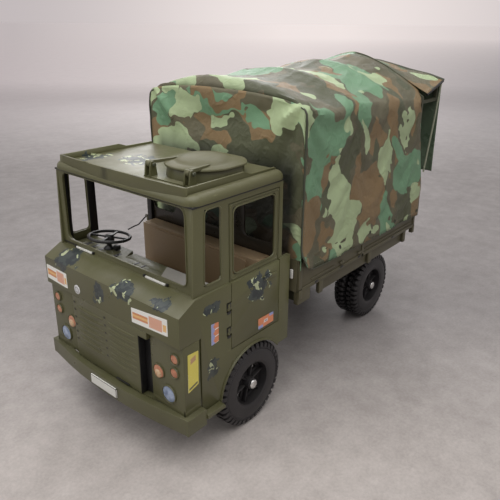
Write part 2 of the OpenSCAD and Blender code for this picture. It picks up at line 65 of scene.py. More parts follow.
class Wire:  # one shader value, so that sums read as sums
    def __init__(self, finish, socket):
        self.finish = finish
        self.socket = socket

    def calc(self, operation, a, b=0.0):
        return self.finish.node("ShaderNodeMath", {"operation": operation}, {0: a, 1: b})

    def __add__(self, other):
        return self.calc("ADD", self, other)

    def __sub__(self, other):
        return self.calc("SUBTRACT", self, other)

    def __mul__(self, other):
        return self.calc("MULTIPLY", self, other)

    def __gt__(self, other):
        return self.calc("GREATER_THAN", self, other)

    def __truediv__(self, other):
        return self.calc("DIVIDE", self, other)

    def __lt__(self, other):
        return self.calc("LESS_THAN", self, other)

    def highest(self, other):
        return self.calc("MAXIMUM", self, other)

    def size(self):
        return self.calc("ABSOLUTE", self)


class Finish:  # a material and the nodes behind it, or the nodes of the world
    def __init__(self, name, owner=None):
        self.material = owner or bpy.data.materials.new(name)
        self.material.use_nodes = True
        self.tree = self.material.node_tree
        self.tree.nodes.clear()
        self.coords = {}

    def node(self, kind, settings=None, sockets=None, out=0):
        made = self.tree.nodes.new(kind)
        for key, value in (settings or {}).items():
            if key == "stops":
                ramp = made.color_ramp
                while len(ramp.elements) < len(value):
                    ramp.elements.new(0.5)
                for element, (place, colour) in zip(ramp.elements, value):
                    element.position = place
                    element.color = (*colour, 1)
            else:
                setattr(made, key, value)
        for key, value in (sockets or {}).items():
            socket = made.inputs[key]
            if isinstance(value, Wire):
                self.tree.links.new(value.socket, socket)
            elif socket.type == "RGBA" and len(value) == 3:
                socket.default_value = (*value, 1)
            else:
                socket.default_value = value
        return Wire(self, made.outputs[out]) if made.outputs else None

    def place(self, kind="Object"):
        if kind not in self.coords:
            self.coords[kind] = self.node("ShaderNodeTexCoord", None, None, kind)
        return self.coords[kind]

    def part(self, vector, axis):
        return self.node("ShaderNodeSeparateXYZ", None, {0: vector}, axis)

    def moved(self, vector, shift=(0, 0, 0), turn=(0, 0, 0), scale=(1, 1, 1)):
        return self.node("ShaderNodeMapping", None, {0: vector, 1: shift, 2: turn, 3: scale})

    def vector(self, operation, a, b=(0, 0, 0), out=0):
        return self.node("ShaderNodeVectorMath", {"operation": operation}, {0: a, 1: b}, out)

    def cloud(self, scale, detail=3.0, rough=0.5, at=None, twist=0.0):
        return self.node("ShaderNodeTexNoise", None, {"Vector": at or self.place(), "Scale": scale, "Detail": detail,
                                                      "Roughness": rough, "Distortion": twist})

    def ramp(self, value, low, high, to0=0.0, to1=1.0):
        return self.node("ShaderNodeMapRange", {"clamp": True}, {0: value, 1: low, 2: high, 3: to0, 4: to1})

    def mix(self, factor, a, b, how="MIX"):
        return self.node("ShaderNodeMix", {"data_type": "RGBA", "blend_type": how}, {0: factor, 6: a, 7: b}, 2)

    def bump(self, height, strength=0.3, distance=0.0005):
        return self.node("ShaderNodeBump", None, {"Height": height, "Strength": strength, "Distance": distance})

    def facing(self, axis=2):  # which way the surface points, along one axis of the frame
        return self.part(self.node("ShaderNodeNewGeometry", None, None, "Normal"), axis)

    def close(self, **sockets):
        names = {key.replace("_", " "): value for key, value in sockets.items()}
        shader = self.node("ShaderNodeBsdfPrincipled", None, names)
        self.node("ShaderNodeOutputMaterial", None, {0: shader})
        return self.material


# finishes
def mouldedPlastic(name, tint, shade, rough, grain=0.12, dust=0.0, decals=(), coat=0.0):
    f = Finish(name)
    drift = f.ramp(f.cloud(9, 3), 0.3, 0.72)
    colour = f.mix(drift, shade, tint)
    specks = f.ramp(f.cloud(900, 2), 0.66, 0.74)
    colour = f.mix(specks * 0.22, colour, tuple(min(1, c * 2.2 + 0.02) for c in tint))
    scratch = f.ramp(f.cloud(60, 4, 0.7, f.moved(f.place(), (0, 0, 0), (0.4, 0.7, 0.2), (1, 9, 3))), 0.69, 0.73)
    colour = f.mix(scratch * 0.3, colour, tuple(min(1, c * 1.9 + 0.03) for c in tint))
    if dust:
        settled = f.ramp(f.facing(), 0.55, 0.95) * f.ramp(f.cloud(28, 4, 0.6), 0.35, 0.8)
        colour = f.mix(settled * dust, colour, (0.36, 0.33, 0.28))
    for decal in decals:
        colour = decal(f, colour)
    # darker towards the bottom of each piece: painted shade low down, with some grime
    lowShadeAndGrime = f.ramp(f.part(f.place(), 2), 0.16, 0.05) * f.ramp(f.cloud(24, 3), 0.2, 0.7, 0.55, 1.0)
    colour = f.mix(lowShadeAndGrime * 0.42, colour, tuple(c * 0.35 for c in shade))
    roughness = f.ramp(f.cloud(36, 4), 0.25, 0.8, rough - 0.07, rough + 0.09) + scratch * 0.12
    skin = f.cloud(1500, 2) * 0.5 + f.cloud(150, 2)
    return f.close(Base_Color=colour, Roughness=roughness, Normal=f.bump(skin, grain, 0.0002),
                   Coat_Weight=coat, Coat_Roughness=0.2, Specular_IOR_Level=0.5)


def camoPatch(centre, spread, seed, flecks=0.5):
    def paint(f, colour):  # a torn-edged dark patch with pale flecks, set on the panel round one point
        spot = [axleX + centre[0] * mm, centre[1] * mm, centre[2] * mm]
        rim = f.cloud(75, 3, 0.6, f.moved(f.place(), (seed, 0, 0)))
        local = f.moved(f.place(), [-c / (s * mm) for c, s in zip(spot, spread)], (0, 0, 0),
                        [1 / (s * mm) for s in spread])
        reach = f.vector("LENGTH", local, out="Value")
        inside = (reach + (rim - 0.5) * 2.6) < 0.86
        slate = f.mix(f.cloud(120, 2, 0.5, f.moved(f.place(), (0, seed, 0))) > 0.5, (0.028, 0.036, 0.038),
                      (0.05, 0.062, 0.058))
        pale = f.cloud(95, 2, 0.5, f.moved(f.place(), (seed, seed, 0)), 0.6) > (1 - flecks * 0.8)
        return f.mix(inside, colour, f.mix(pale, slate, (0.46, 0.5, 0.3)))
    return paint


oliveTint = (0.122, 0.119, 0.054)
oliveShade = (0.094, 0.091, 0.04)
cabPatches = [camoPatch((106, -82, 196), (20, 19, 20), 3.1, 0.46), camoPatch((115, -14, 174), (9, 12, 16), 5.7),
              camoPatch((111, 30, 190), (14, 19, 11), 8.2, 0.56), camoPatch((107, 88, 194), (11, 14, 10), 11.4, 0.42),
              camoPatch((68, 121, 184), (15, 9, 8), 1.9, 0.5), camoPatch((68, 121, 112), (10, 9, 13), 7.3, 0.5)]
doorPatches = [camoPatch((-10, 121, 180), (21, 9, 19), 4.4, 0.52)]
roofPatches = [camoPatch((48, -92, 309), (22, 15, 9), 6.1, 0.52), camoPatch((22, -38, 309), (22, 30, 9), 9.9, 0.55)]

cabPlastic = mouldedPlastic("cabPlastic", oliveTint, oliveShade, 0.33, dust=0.16, decals=cabPatches)
doorPlastic = mouldedPlastic("doorPlastic", oliveTint, oliveShade, 0.34, dust=0.12, decals=doorPatches)
roofPlastic = mouldedPlastic("roofPlastic", oliveTint, oliveShade, 0.4, dust=0.24, decals=roofPatches)
olivePlastic = mouldedPlastic("olivePlastic", oliveTint, oliveShade, 0.4, dust=0.18)
lidPlastic = mouldedPlastic("lidPlastic", (0.13, 0.125, 0.06), (0.1, 0.096, 0.046), 0.52, dust=0.2)
bedPlastic = mouldedPlastic("bedPlastic", (0.094, 0.084, 0.046), (0.072, 0.064, 0.036), 0.44, dust=0.2)
darkPlastic = mouldedPlastic("darkPlastic", (0.07, 0.074, 0.042), (0.05, 0.053, 0.03), 0.5, dust=0.25)
tyrePlastic = mouldedPlastic("tyrePlastic", (0.034, 0.031, 0.033), (0.022, 0.02, 0.021), 0.42, 0.2, dust=0.12)
blackPlastic = mouldedPlastic("blackPlastic", (0.016, 0.0155, 0.016), (0.01, 0.01, 0.01), 0.38, dust=0.1)
seatPlastic = mouldedPlastic("seatPlastic", (0.36, 0.25, 0.14), (0.28, 0.195, 0.11), 0.46, 0.3, dust=0.15)
wornPlastic = mouldedPlastic("wornPlastic", (0.52, 0.5, 0.47), (0.3, 0.28, 0.24), 0.35, 0.3)
whitePlastic = mouldedPlastic("whitePlastic", (0.78, 0.77, 0.72), (0.68, 0.67, 0.62), 0.42)


def chromePlate():
    f = Finish("chromePlate")
    paintedFarGlow = f.cloud(300, 4)
    return f.close(Base_Color=f.mix(f.ramp(paintedFarGlow, 0.45, 0.8), (0.72, 0.72, 0.71), (0.45, 0.43, 0.4)), Metallic=1.0,
                   Roughness=f.ramp(paintedFarGlow, 0.3, 0.8, 0.14, 0.38), Normal=f.bump(f.cloud(500, 2), 0.06, 0.0002))


def lens(name, deep, pale, ridge):
    f = Finish(name)
    across = f.part(f.place(), 1)
    ribs = f.node("ShaderNodeMath", {"operation": "SINE"}, {0: across * ridge})
    tone = f.ramp(f.cloud(120, 3), 0.3, 0.75)
    return f.close(Base_Color=f.mix(tone, deep, pale), Roughness=f.ramp(f.cloud(90, 2), 0.3, 0.7, 0.16, 0.3),
                   Normal=f.bump(ribs, 0.35, 0.0004), Coat_Weight=0.5, Coat_Roughness=0.08)


def paperSticker(name, bands, along=1, edge=(0.86, 0.85, 0.8)):
    f = Finish(name)  # plain bands of colour across a pale printed label, with rubbed spots
    where = f.part(f.place("UV"), 0 if along else 1)
    other = f.part(f.place("UV"), 1 if along else 0)
    colour = edge
    for low, high, otherLow, otherHigh, tint in bands:
        inside = (where > low) * (where < high) * (other > otherLow) * (other < otherHigh)
        colour = f.mix(inside, colour, tint)
    rubbed = f.ramp(f.cloud(420, 4, 0.7), 0.6, 0.7)
    colour = f.mix(rubbed * 0.55, colour, (0.8, 0.76, 0.68))
    return f.close(Base_Color=colour, Roughness=f.ramp(f.cloud(60, 2), 0.3, 0.7, 0.35, 0.5),
                   Normal=f.bump(f.cloud(300, 2), 0.1, 0.0002))


chrome = chromePlate()
orangeLens = lens("orangeLens", (0.46, 0.16, 0.08), (0.64, 0.3, 0.17), 3300)
creamLens = lens("creamLens", (0.5, 0.26, 0.12), (0.72, 0.56, 0.36), 2500)
clearLens = lens("clearLens", (0.13, 0.18, 0.29), (0.42, 0.5, 0.66), 2600)
orangeRed = (0.66, 0.27, 0.12)
amber = (0.82, 0.5, 0.2)
frontSticker = paperSticker("frontSticker", [(0.03, 0.47, 0.3, 0.44, orangeRed), (0.03, 0.47, 0.44, 0.6, amber),
                                             (0.03, 0.47, 0.6, 0.74, orangeRed), (0.5, 0.86, 0.14, 0.9,
                                                     (0.74, 0.4, 0.28)),
                                             (0.88, 0.97, 0.24, 0.7, amber)])
orange = (0.7, 0.25, 0.12)
violet = (0.32, 0.35, 0.6)
sideSticker = paperSticker("sideSticker",
                           [(0.0, 0.48, 0.0, 1.0, violet), (0.44, 1.0, 0.02, 0.31, orange),
                            (0.44, 1.0, 0.35, 0.64, orange),
                                           (0.44, 1.0, 0.68, 0.97, orange), (0.3, 0.5, 0.1, 0.22, orange),
                                           (0.3, 0.5, 0.44, 0.56, orange),
                                           (0.3, 0.5, 0.77, 0.89, orange)])
doorSticker = paperSticker("doorSticker",
                           [(0.0, 1.0, 0.0, 1.0, violet), (0.0, 0.72, 0.3, 1.0, orange), (0.3, 1.0, 0.0, 0.7, orange),
                                           (0.36, 0.62, 0.36, 0.64, (0.72, 0.64, 0.62)),
                                           (0.44, 0.54, 0.44, 0.54, (0.2, 0.2, 0.35))])
yellowSticker = paperSticker("yellowSticker",
                             [(0.0, 1.0, 0.0, 1.0, (0.7, 0.6, 0.12)), (0.25, 0.75, 0.7, 0.84, (0.5, 0.3, 0.16)),
                                               (0.1, 0.9, 0.04, 0.1, (0.16, 0.15, 0.08))])
plateFinish = paperSticker("plateFinish",
                           [(0.0, 1.0, 0.0, 1.0, (0.045, 0.045, 0.04)), (0.018, 0.982, 0.08, 0.92, (0.7, 0.7, 0.65))])
badgeFinish = paperSticker("badgeFinish", [(0.0, 1.0, 0.0, 1.0, (0.62, 0.62, 0.62))])


camoSpots = {"brown": [(0.07, 0.01, 0.035, 0.03), (0.068, 0.157, 0.042, 0.042), (0.252, 0.458, 0.03, 0.014),
                       (0.31, 0.43, 0.05, 0.01)],
             "dusk": [(0.136, 0.11, 0.026, 0.033), (0.03, 0.27, 0.025, 0.03), (0.205, 0.485, 0.026, 0.04),
                      (0.293, 0.468, 0.034, 0.02),
                      (0.3, 0.1, 0.03, 0.04)],
             "sea": [(0.17, 0.05, 0.024, 0.042), (0.12, 0.033, 0.024, 0.028), (0.085, 0.27, 0.035, 0.035),
                     (0.42, 0.445, 0.022, 0.024),
                     (0.3, 0.22, 0.03, 0.03)],
             "sage": [(0.06, 0.088, 0.062, 0.031), (0.018, 0.165, 0.016, 0.03), (0.113, 0.207, 0.032, 0.016),
                      (0.158, 0.28, 0.026, 0.018),
                      (0.215, 0.44, 0.018, 0.018), (0.31, 0.462, 0.018, 0.012), (0.397, 0.495, 0.034, 0.02),
                      (0.374, 0.447, 0.016, 0.024)]}


camoLayers = [("brown", (3.3, 1.2, 0), 16, 0.53, 0.5, (0.222, 0.148, 0.07)),  # shift, scale, level, turn, colour
              ("dusk", (8.1, 4.4, 0), 17, 0.56, -0.4, (0.083, 0.089, 0.048)),
              ("sea", (5.2, 9.7, 0), 16, 0.565, 0.3, (0.155, 0.292, 0.168)),
              ("sage", (1.7, 6.6, 0), 18, 0.585, 0.9, (0.4, 0.49, 0.28))]


def camoCloth(name, gloss, dim=1.0, shaded=False, lined=False):
    f = Finish(name)  # coated cloth: crisp blotches of five colours that follow the cloth's own map
    plain = f.place("UV")
    cloth = f.moved(plain, (0.31, 0.12, 0))
    wobble = f.cloud(34, 1.6, 0.5, cloth)

    def shaken(start, other, wide, tall):
        shift = f.node("ShaderNodeCombineXYZ", None, {0: (wobble - 0.5) * wide, 1: (other - 0.5) * tall})
        return f.vector("ADD", start, shift)

    def tone(colour):
        return tuple(v * dim for v in colour)

    ragged = shaken(cloth, f.cloud(34, 1.6, 0.5, f.moved(cloth, (7, 3, 0))), 0.022, 0.022)
    torn = shaken(plain, f.cloud(22, 2, 0.5, f.moved(cloth, (2, 5, 0))), 0.07, 0.1)
    claims = {}
    for kind, spots in camoSpots.items():  # a few large patches have their place, the rest is left to the noise
        for u, v, wide, tall in spots:
            local = f.moved(torn, (-u / wide, -v / tall, 0), (0, 0, 0), (1 / wide, 1 / tall, 1))
            claim = f.ramp(f.vector("LENGTH", local, out="Value"), 1.2, 0.8)
            claims[kind] = claims[kind].highest(claim) if kind in claims else claim
    taken = claims["brown"].highest(claims["dusk"]).highest(claims["sea"]).highest(claims["sage"])

    ground = f.ramp(f.cloud(14, 2, 0.5, cloth), 0.35, 0.65)
    colour = f.mix(ground, tone((0.094, 0.088, 0.05)), tone((0.143, 0.129, 0.078)))
    for kind, shift, scale, level, turn, tint in camoLayers:
        value = f.cloud(scale, 1.2, 0.45, f.moved(ragged, shift, (0, 0, turn), (0.72, 1.2, 1)))
        colour = f.mix((value + claims[kind] * 0.42 - taken * 0.2) > level, colour, tone(tint))
    smear = f.ramp(f.cloud(22, 4, 0.65, cloth), 0.42, 0.7)
    colour = f.mix(smear * 0.16, colour, tone((0.11, 0.115, 0.085)))
    rubbed = f.ramp(f.cloud(240, 4, 0.7, cloth), 0.66, 0.74)
    colour = f.mix(rubbed * 0.42, colour, tone((0.4, 0.4, 0.32)))
    if shaded:  # painted shade on the sheltered part just behind the cab
        across, up = f.part(f.place(), 1), f.part(f.place(), 2)
        shadeBehindCab = f.ramp(across.size(), 0.124, 0.112) * f.ramp(up, 0.325, 0.295)
        colour = f.mix(shadeBehindCab * 0.86, colour, (0.012, 0.014, 0.012))
    if lined:  # the plain green back of the coated cloth
        back = f.mix(f.ramp(f.cloud(20, 3), 0.3, 0.7), (0.075, 0.115, 0.07), (0.12, 0.165, 0.105))
        colour = f.mix(f.facing(0) > 0.1, colour, back)
    threads, weft = [f.node("ShaderNodeTexWave", {"bands_direction": way},
                            {"Vector": cloth, "Scale": 320, "Distortion": 0.3})
                     for way in "XY"]
    ridge = (f.cloud(17, 4, 0.55, f.moved(cloth, (4, 2, 0))) - 0.5).size()
    crease = f.ramp(ridge, 0.05, 0.0)
    relief = threads * 0.25 + weft * 0.25 + f.cloud(65, 4, 0.6, cloth) * 2.4 + crease * 1.5
    roughness = f.ramp(f.cloud(30, 4, 0.6, cloth), 0.3, 0.75, gloss, gloss + 0.2)
    return f.close(Base_Color=colour, Roughness=roughness, Normal=f.bump(relief, 0.5, 0.0009), Specular_IOR_Level=0.5)


canvasFinish = camoCloth("canvasFinish", 0.42)
# the front panel: the same cloth painted 1.32 times lighter as painted light, with painted shade just behind the cab
panelFinish = camoCloth("panelFinish", 0.38, 1.32, True)
curtainFinish = camoCloth("curtainFinish", 0.22, 0.9, False, True)
pipingFinish = mouldedPlastic("pipingFinish", (0.07, 0.075, 0.05), (0.05, 0.055, 0.035), 0.45, 0.3)
wallPlastic = mouldedPlastic("wallPlastic", (0.034, 0.026, 0.016), (0.02, 0.016, 0.01), 0.3, dust=0.1)
strapFinish = mouldedPlastic("strapFinish", (0.3, 0.31, 0.22), (0.2, 0.21, 0.15), 0.35, 0.3)
threadFinish = mouldedPlastic("threadFinish", (0.3, 0.3, 0.22), (0.2, 0.2, 0.15), 0.7, 0.4)
print("finishes made")


# ways of making pieces, in millimetres from the front axle
def blankObject(name, mesh):
    made = bpy.data.objects.new(name, mesh)
    bpy.context.scene.collection.objects.link(made)
    return made


def meshOf(name, shape):
    mesh = bpy.data.meshes.new(name)
    shape.to_mesh(mesh)
    shape.free()
    return mesh


def bevelled(made, width, steps=2, angle=32):
    rounding = made.modifiers.new("rounding", "BEVEL")
    settings = {"width": width * mm, "segments": steps, "limit_method": "ANGLE", "angle_limit": math.radians(angle),
                "harden_normals": True, "use_clamp_overlap": True}
    for key, value in settings.items():
        setattr(rounding, key, value)
    return made


def settled(made):  # what the modifiers make becomes the piece's own mesh
    shape = bpy.data.meshes.new_from_object(made.evaluated_get(bpy.context.evaluated_depsgraph_get()))
    made.modifiers.clear()
    made.data = shape
    return made


def closed(made, body, finish=None, replaced=()):
    if finish:
        made.data.materials.clear()
        made.data.materials.append(finish)
    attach(made, body)
    if replaced:
        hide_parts(*replaced)
    return made


def fromShape(name, shape, smooth=True, turned=True):
    if turned:
        bmesh.ops.recalc_face_normals(shape, faces=shape.faces)
    shape.transform(intoFrame)
    mesh = meshOf(name, shape)
    if smooth:
        mesh.shade_smooth()
        mesh.set_sharp_from_angle(angle=math.radians(38))
    return blankObject(name, mesh)


def piece(name, shape, finish, node=None, body=truck):
    return closed(fromShape(name, shape), body, finish, [node] if node else ())


def softened(name, node, width, steps=2, angle=32):
    shape = bmesh.new()
    shape.from_mesh(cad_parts[node].data)
    bmesh.ops.remove_doubles(shape, verts=shape.verts, dist=2e-6)
    bmesh.ops.dissolve_limit(shape, angle_limit=math.radians(1.5), verts=shape.verts, edges=shape.edges)
    mesh = meshOf(name, shape)
    mesh.shade_smooth()
    return settled(bevelled(blankObject(name, mesh), width, steps, angle))


def fromCad(name, node, width, finish, steps=2, angle=32, body=truck):
    return closed(softened(name, node, width, steps, angle), body, finish, [node])


def block(shape, low, high, round=0.0, steps=2, tilt=None):
    size = [h - l for l, h in zip(low, high)]
    centre = [(h + l) / 2 for l, h in zip(low, high)]
    part = bmesh.new()
    bmesh.ops.create_cube(part, size=1, matrix=Matrix.Diagonal((*size, 1)))
    if round:
        bmesh.ops.bevel(part, geom=part.edges[:], offset=round, segments=steps, profile=0.5, affect="EDGES",
                        clamp_overlap=True)
    part.transform(Matrix.Translation(centre) @ (tilt or Matrix.Identity(4)))
    added(shape, part)


def sideBlock(shape, side, low, high, round):  # the same block on the left or the right
    y0, y1 = sorted((side * low[1], side * high[1]))
    block(shape, (low[0], y0, low[2]), (high[0], y1, high[2]), round)


def added(shape, part, where=None):
    if where:
        part.transform(where)
    held = meshOf("held", part)
    shape.from_mesh(held)
    bpy.data.meshes.remove(held)


def circle(count):
    return [(math.cos(a), math.sin(a)) for a in (math.tau * k / count for k in range(count))]


def bridged(shape, near, far, flip=False, count=None):  # the band of faces between two lines of points
    for k in range(count or len(near)):
        n = (k + 1) % len(near)
        shape.faces.new((near[k], near[n], far[n], far[k]) if flip else (near[k], far[k], far[n], near[n]))


def turnedShape(profile, steps=64, loop=True):  # profile of (radius, height) turned about +Z
    part = bmesh.new()
    rings = [[part.verts.new((r * c, r * s, h)) for r, h in profile] for c, s in circle(steps)]
    for i in range(steps):
        bridged(part, rings[i], rings[(i + 1) % steps], False, len(profile) - (0 if loop else 1))
    bmesh.ops.remove_doubles(part, verts=part.verts, dist=1e-4)
    return part


def rod(shape, start, end, radius, steps=16, taper=None):
    start, end = Vector(start), Vector(end)
    along = end - start
    part = bmesh.new()
    bmesh.ops.create_cone(part, cap_ends=True, segments=steps, radius1=radius,
                          radius2=radius if taper is None else taper,
                          depth=along.length)
    where = Matrix.Translation((start + end) / 2) @ along.to_track_quat("Z", "Y").to_matrix().to_4x4()
    added(shape, part, where)


def tube(shape, points, radius, steps=10, ring=False):
    points = [Vector(p) for p in points]
    rings, normal = [], None
    for i, p in enumerate(points):
        before = points[i - 1] if i or ring else p
        after = points[(i + 1) % len(points)] if i + 1 < len(points) or ring else p
        along = (after - before).normalized()
        if normal is None:
            normal = along.orthogonal().normalized()
        normal = (normal - along * normal.dot(along)).normalized()
        side = along.cross(normal)
        rings.append([shape.verts.new(p + (normal * c + side * s) * radius) for c, s in circle(steps)])
    for i in range(len(points) if ring else len(points) - 1):
        bridged(shape, rings[i], rings[(i + 1) % len(rings)], True)
    if not ring:
        shape.faces.new(rings[0])
        shape.faces.new(rings[-1][::-1])


def panelPlate(shape, corners, depth, round=0.0, steps=4):  # a plate from its outline, thickened along depth
    depth = Vector(depth)
    outline = [Vector(c) for c in corners]
    if round:
        outline = roundedOutline(outline, round, steps)
    front = [shape.verts.new(p + depth) for p in outline]
    back = [shape.verts.new(p) for p in outline]
    shape.faces.new(front)
    shape.faces.new(back[::-1])
    bridged(shape, front, back)


def roundedOutline(corners, radius, steps=4):
    outline = []
    for k, corner in enumerate(corners):
        before, after = corners[k - 1], corners[(k + 1) % len(corners)]
        inward, outward = (before - corner), (after - corner)
        reach = min(radius, inward.length * 0.49, outward.length * 0.49)
        a, b = corner + inward.normalized() * reach, corner + outward.normalized() * reach
        for i in range(steps + 1):
            t = i / steps
            outline.append(a * (1 - t) ** 2 + corner * 2 * t * (1 - t) + b * t ** 2)
    return outline


def cutAway(made, cutter):
    cut = made.modifiers.new("cut", "BOOLEAN")
    cut.operation = "DIFFERENCE"
    cut.solver = "EXACT"
    cut.object = cutter
    settled(made)
    bpy.data.objects.remove(cutter)
    return made


# repeating trees: each takes one shape and sets it out
def newTree(name, inputs):
    tree = bpy.data.node_groups.new(name, "GeometryNodeTree")
    tree.interface.new_socket("Geometry", in_out="INPUT", socket_type="NodeSocketGeometry")
    tree.interface.new_socket("Geometry", in_out="OUTPUT", socket_type="NodeSocketGeometry")
    for label, kind, value in inputs:
        made = tree.interface.new_socket(label, in_out="INPUT", socket_type=kind)
        if value is not None:
            made.default_value = value
    source = tree.nodes.new("NodeGroupInput")
    result = tree.nodes.new("NodeGroupOutput")
    return tree, source, result


def finishTree(tree, source, result, geometry, links):
    real = tree.nodes.new("GeometryNodeRealizeInstances")
    painted = tree.nodes.new("GeometryNodeSetMaterial")
    links = links + [(geometry, real.inputs[0]), (real.outputs[0], painted.inputs[0]),
                     (source.outputs["Finish"], painted.inputs["Material"]), (painted.outputs[0], result.inputs[0])]
    for start, end in links:
        tree.links.new(start, end)
    return tree


def rowTree():  # a straight row: so many copies, each one step further
    tree, source, result = newTree("row", [("Count", "NodeSocketInt", 7), ("Step", "NodeSocketVector", None),
                                           ("Finish", "NodeSocketMaterial", None)])
    line = tree.nodes.new("GeometryNodeMeshLine")
    line.mode = "OFFSET"
    copies = tree.nodes.new("GeometryNodeInstanceOnPoints")
    links = [(source.outputs["Count"], line.inputs["Count"]), (source.outputs["Step"], line.inputs["Offset"]),
             (line.outputs[0], copies.inputs["Points"]), (source.outputs["Geometry"], copies.inputs["Instance"])]
    return finishTree(tree, source, result, copies.outputs[0], links)


def ringTree():  # a ring about the wheel's own axis, which runs along Y
    tree, source, result = newTree("ring", [("Count", "NodeSocketInt", 36), ("Start", "NodeSocketFloat", 0.0),
                                            ("Finish", "NodeSocketMaterial", None)])
    line = tree.nodes.new("GeometryNodeMeshLine")
    line.mode = "OFFSET"
    line.inputs["Offset"].default_value = (0, 0, 0)
    index = tree.nodes.new("GeometryNodeInputIndex")
    share = tree.nodes.new("ShaderNodeMath")
    share.operation = "DIVIDE"
    angle = tree.nodes.new("ShaderNodeMath")
    angle.operation = "MULTIPLY_ADD"
    angle.inputs[1].default_value = math.tau
    turn = tree.nodes.new("ShaderNodeCombineXYZ")
    copies = tree.nodes.new("GeometryNodeInstanceOnPoints")
    links = [(source.outputs["Count"], line.inputs["Count"]), (index.outputs[0], share.inputs[0]),
             (source.outputs["Count"], share.inputs[1]), (share.outputs[0], angle.inputs[0]),
             (source.outputs["Start"], angle.inputs[2]), (angle.outputs[0], turn.inputs[1]),
             (turn.outputs[0], copies.inputs["Rotation"]), (line.outputs[0], copies.inputs["Points"]),
             (source.outputs["Geometry"], copies.inputs["Instance"])]
    return finishTree(tree, source, result, copies.outputs[0], links)


def stitchTree():  # short threads laid end to end along a line of points
    tree, source, result = newTree("stitch", [("Pitch", "NodeSocketFloat", 0.004),
                                              ("Thread", "NodeSocketVector", None),
                                              ("Finish", "NodeSocketMaterial", None)])
    curve = tree.nodes.new("GeometryNodeMeshToCurve")
    spaced = tree.nodes.new("GeometryNodeCurveToPoints")
    spaced.mode = "LENGTH"
    thread = tree.nodes.new("GeometryNodeMeshCube")
    copies = tree.nodes.new("GeometryNodeInstanceOnPoints")
    links = [(source.outputs["Geometry"], curve.inputs[0]), (curve.outputs[0], spaced.inputs[0]),
             (source.outputs["Pitch"], spaced.inputs["Length"]), (source.outputs["Thread"], thread.inputs["Size"]),
             (spaced.outputs["Points"], copies.inputs["Points"]), (thread.outputs[0], copies.inputs["Instance"]),
             (spaced.outputs["Rotation"], copies.inputs["Rotation"])]
    return finishTree(tree, source, result, copies.outputs[0], links)


trees = {"row": rowTree(), "ring": ringTree(), "stitch": stitchTree()}


def repeated(made, kind, **values):
    tree = trees[kind]
    maker = made.modifiers.new(kind, "NODES")
    maker.node_group = tree
    sockets = {item.name: item.identifier for item in tree.interface.items_tree if item.in_out == "INPUT"}
    for label, value in values.items():
        maker[sockets[label]] = value
    made.data.update()
    return settled(made)


def merged(name, objects):
    shape = bmesh.new()
    for item in objects:
        shape.from_mesh(item.data)
        bpy.data.objects.remove(item)
    mesh = meshOf(name, shape)
    mesh.shade_smooth()
    mesh.set_sharp_from_angle(angle=math.radians(38))
    return blankObject(name, mesh)


print("tools ready")

# cab
cab = {"screenLow": 240, "screenTop": 296.2, "screenHalf": 106, "sideRear": 49.5, "sideFront": 62, "sideLow": 211,
       "sideTop": 293}


def makeShell():
    shell = softened("cabShell", "cab_shell", 0.9)
    openings = bmesh.new()  # the windscreen reaches up to the roof, and the side lights back to the door
    half, low, top = cab["screenHalf"], cab["screenLow"], cab["screenTop"]
    corners = [Vector((80, y, z)) for y, z in ((-half, low), (half, low), (half, top), (-half, top))]
    panelPlate(openings, corners, (14, 0, 0), 9)
    rear, fore, low, top = cab["sideRear"], cab["sideFront"], cab["sideLow"], cab["sideTop"]
    for side in (1, -1):
        corners = [Vector((x, side * 110, z)) for x, z in ((rear, low), (fore, low), (fore, top), (rear, top))]
        panelPlate(openings, corners, (0, side * 12, 0), 5)
    cutAway(shell, fromShape("openings", openings, False))
    closed(shell, truck, cabPlastic, ["cab_shell"])


makeShell()
fromCad("rearWall", "rear_wall", 0.8, wallPlastic)
fromCad("cabFloor", "cab_floor", 0.8, darkPlastic)
fromCad("dashShelf", "dashboard", 1.0, olivePlastic)
fromCad("bench", "bench_seat", 3.0, seatPlastic, 4)
print("cab shell made")

roof = {"low": 299, "crown": 309, "lip": 316, "lipFoot": 300.6, "front": 92, "rear": -58, "half": 119.5, "edge": 9,
        "corner": 13, "hole": 39.6}
hatch = {"x": 15, "y": 60, "base": 309, "wall": 11, "hinge": 63, "pin": 323, "arms": (-32, 28)}


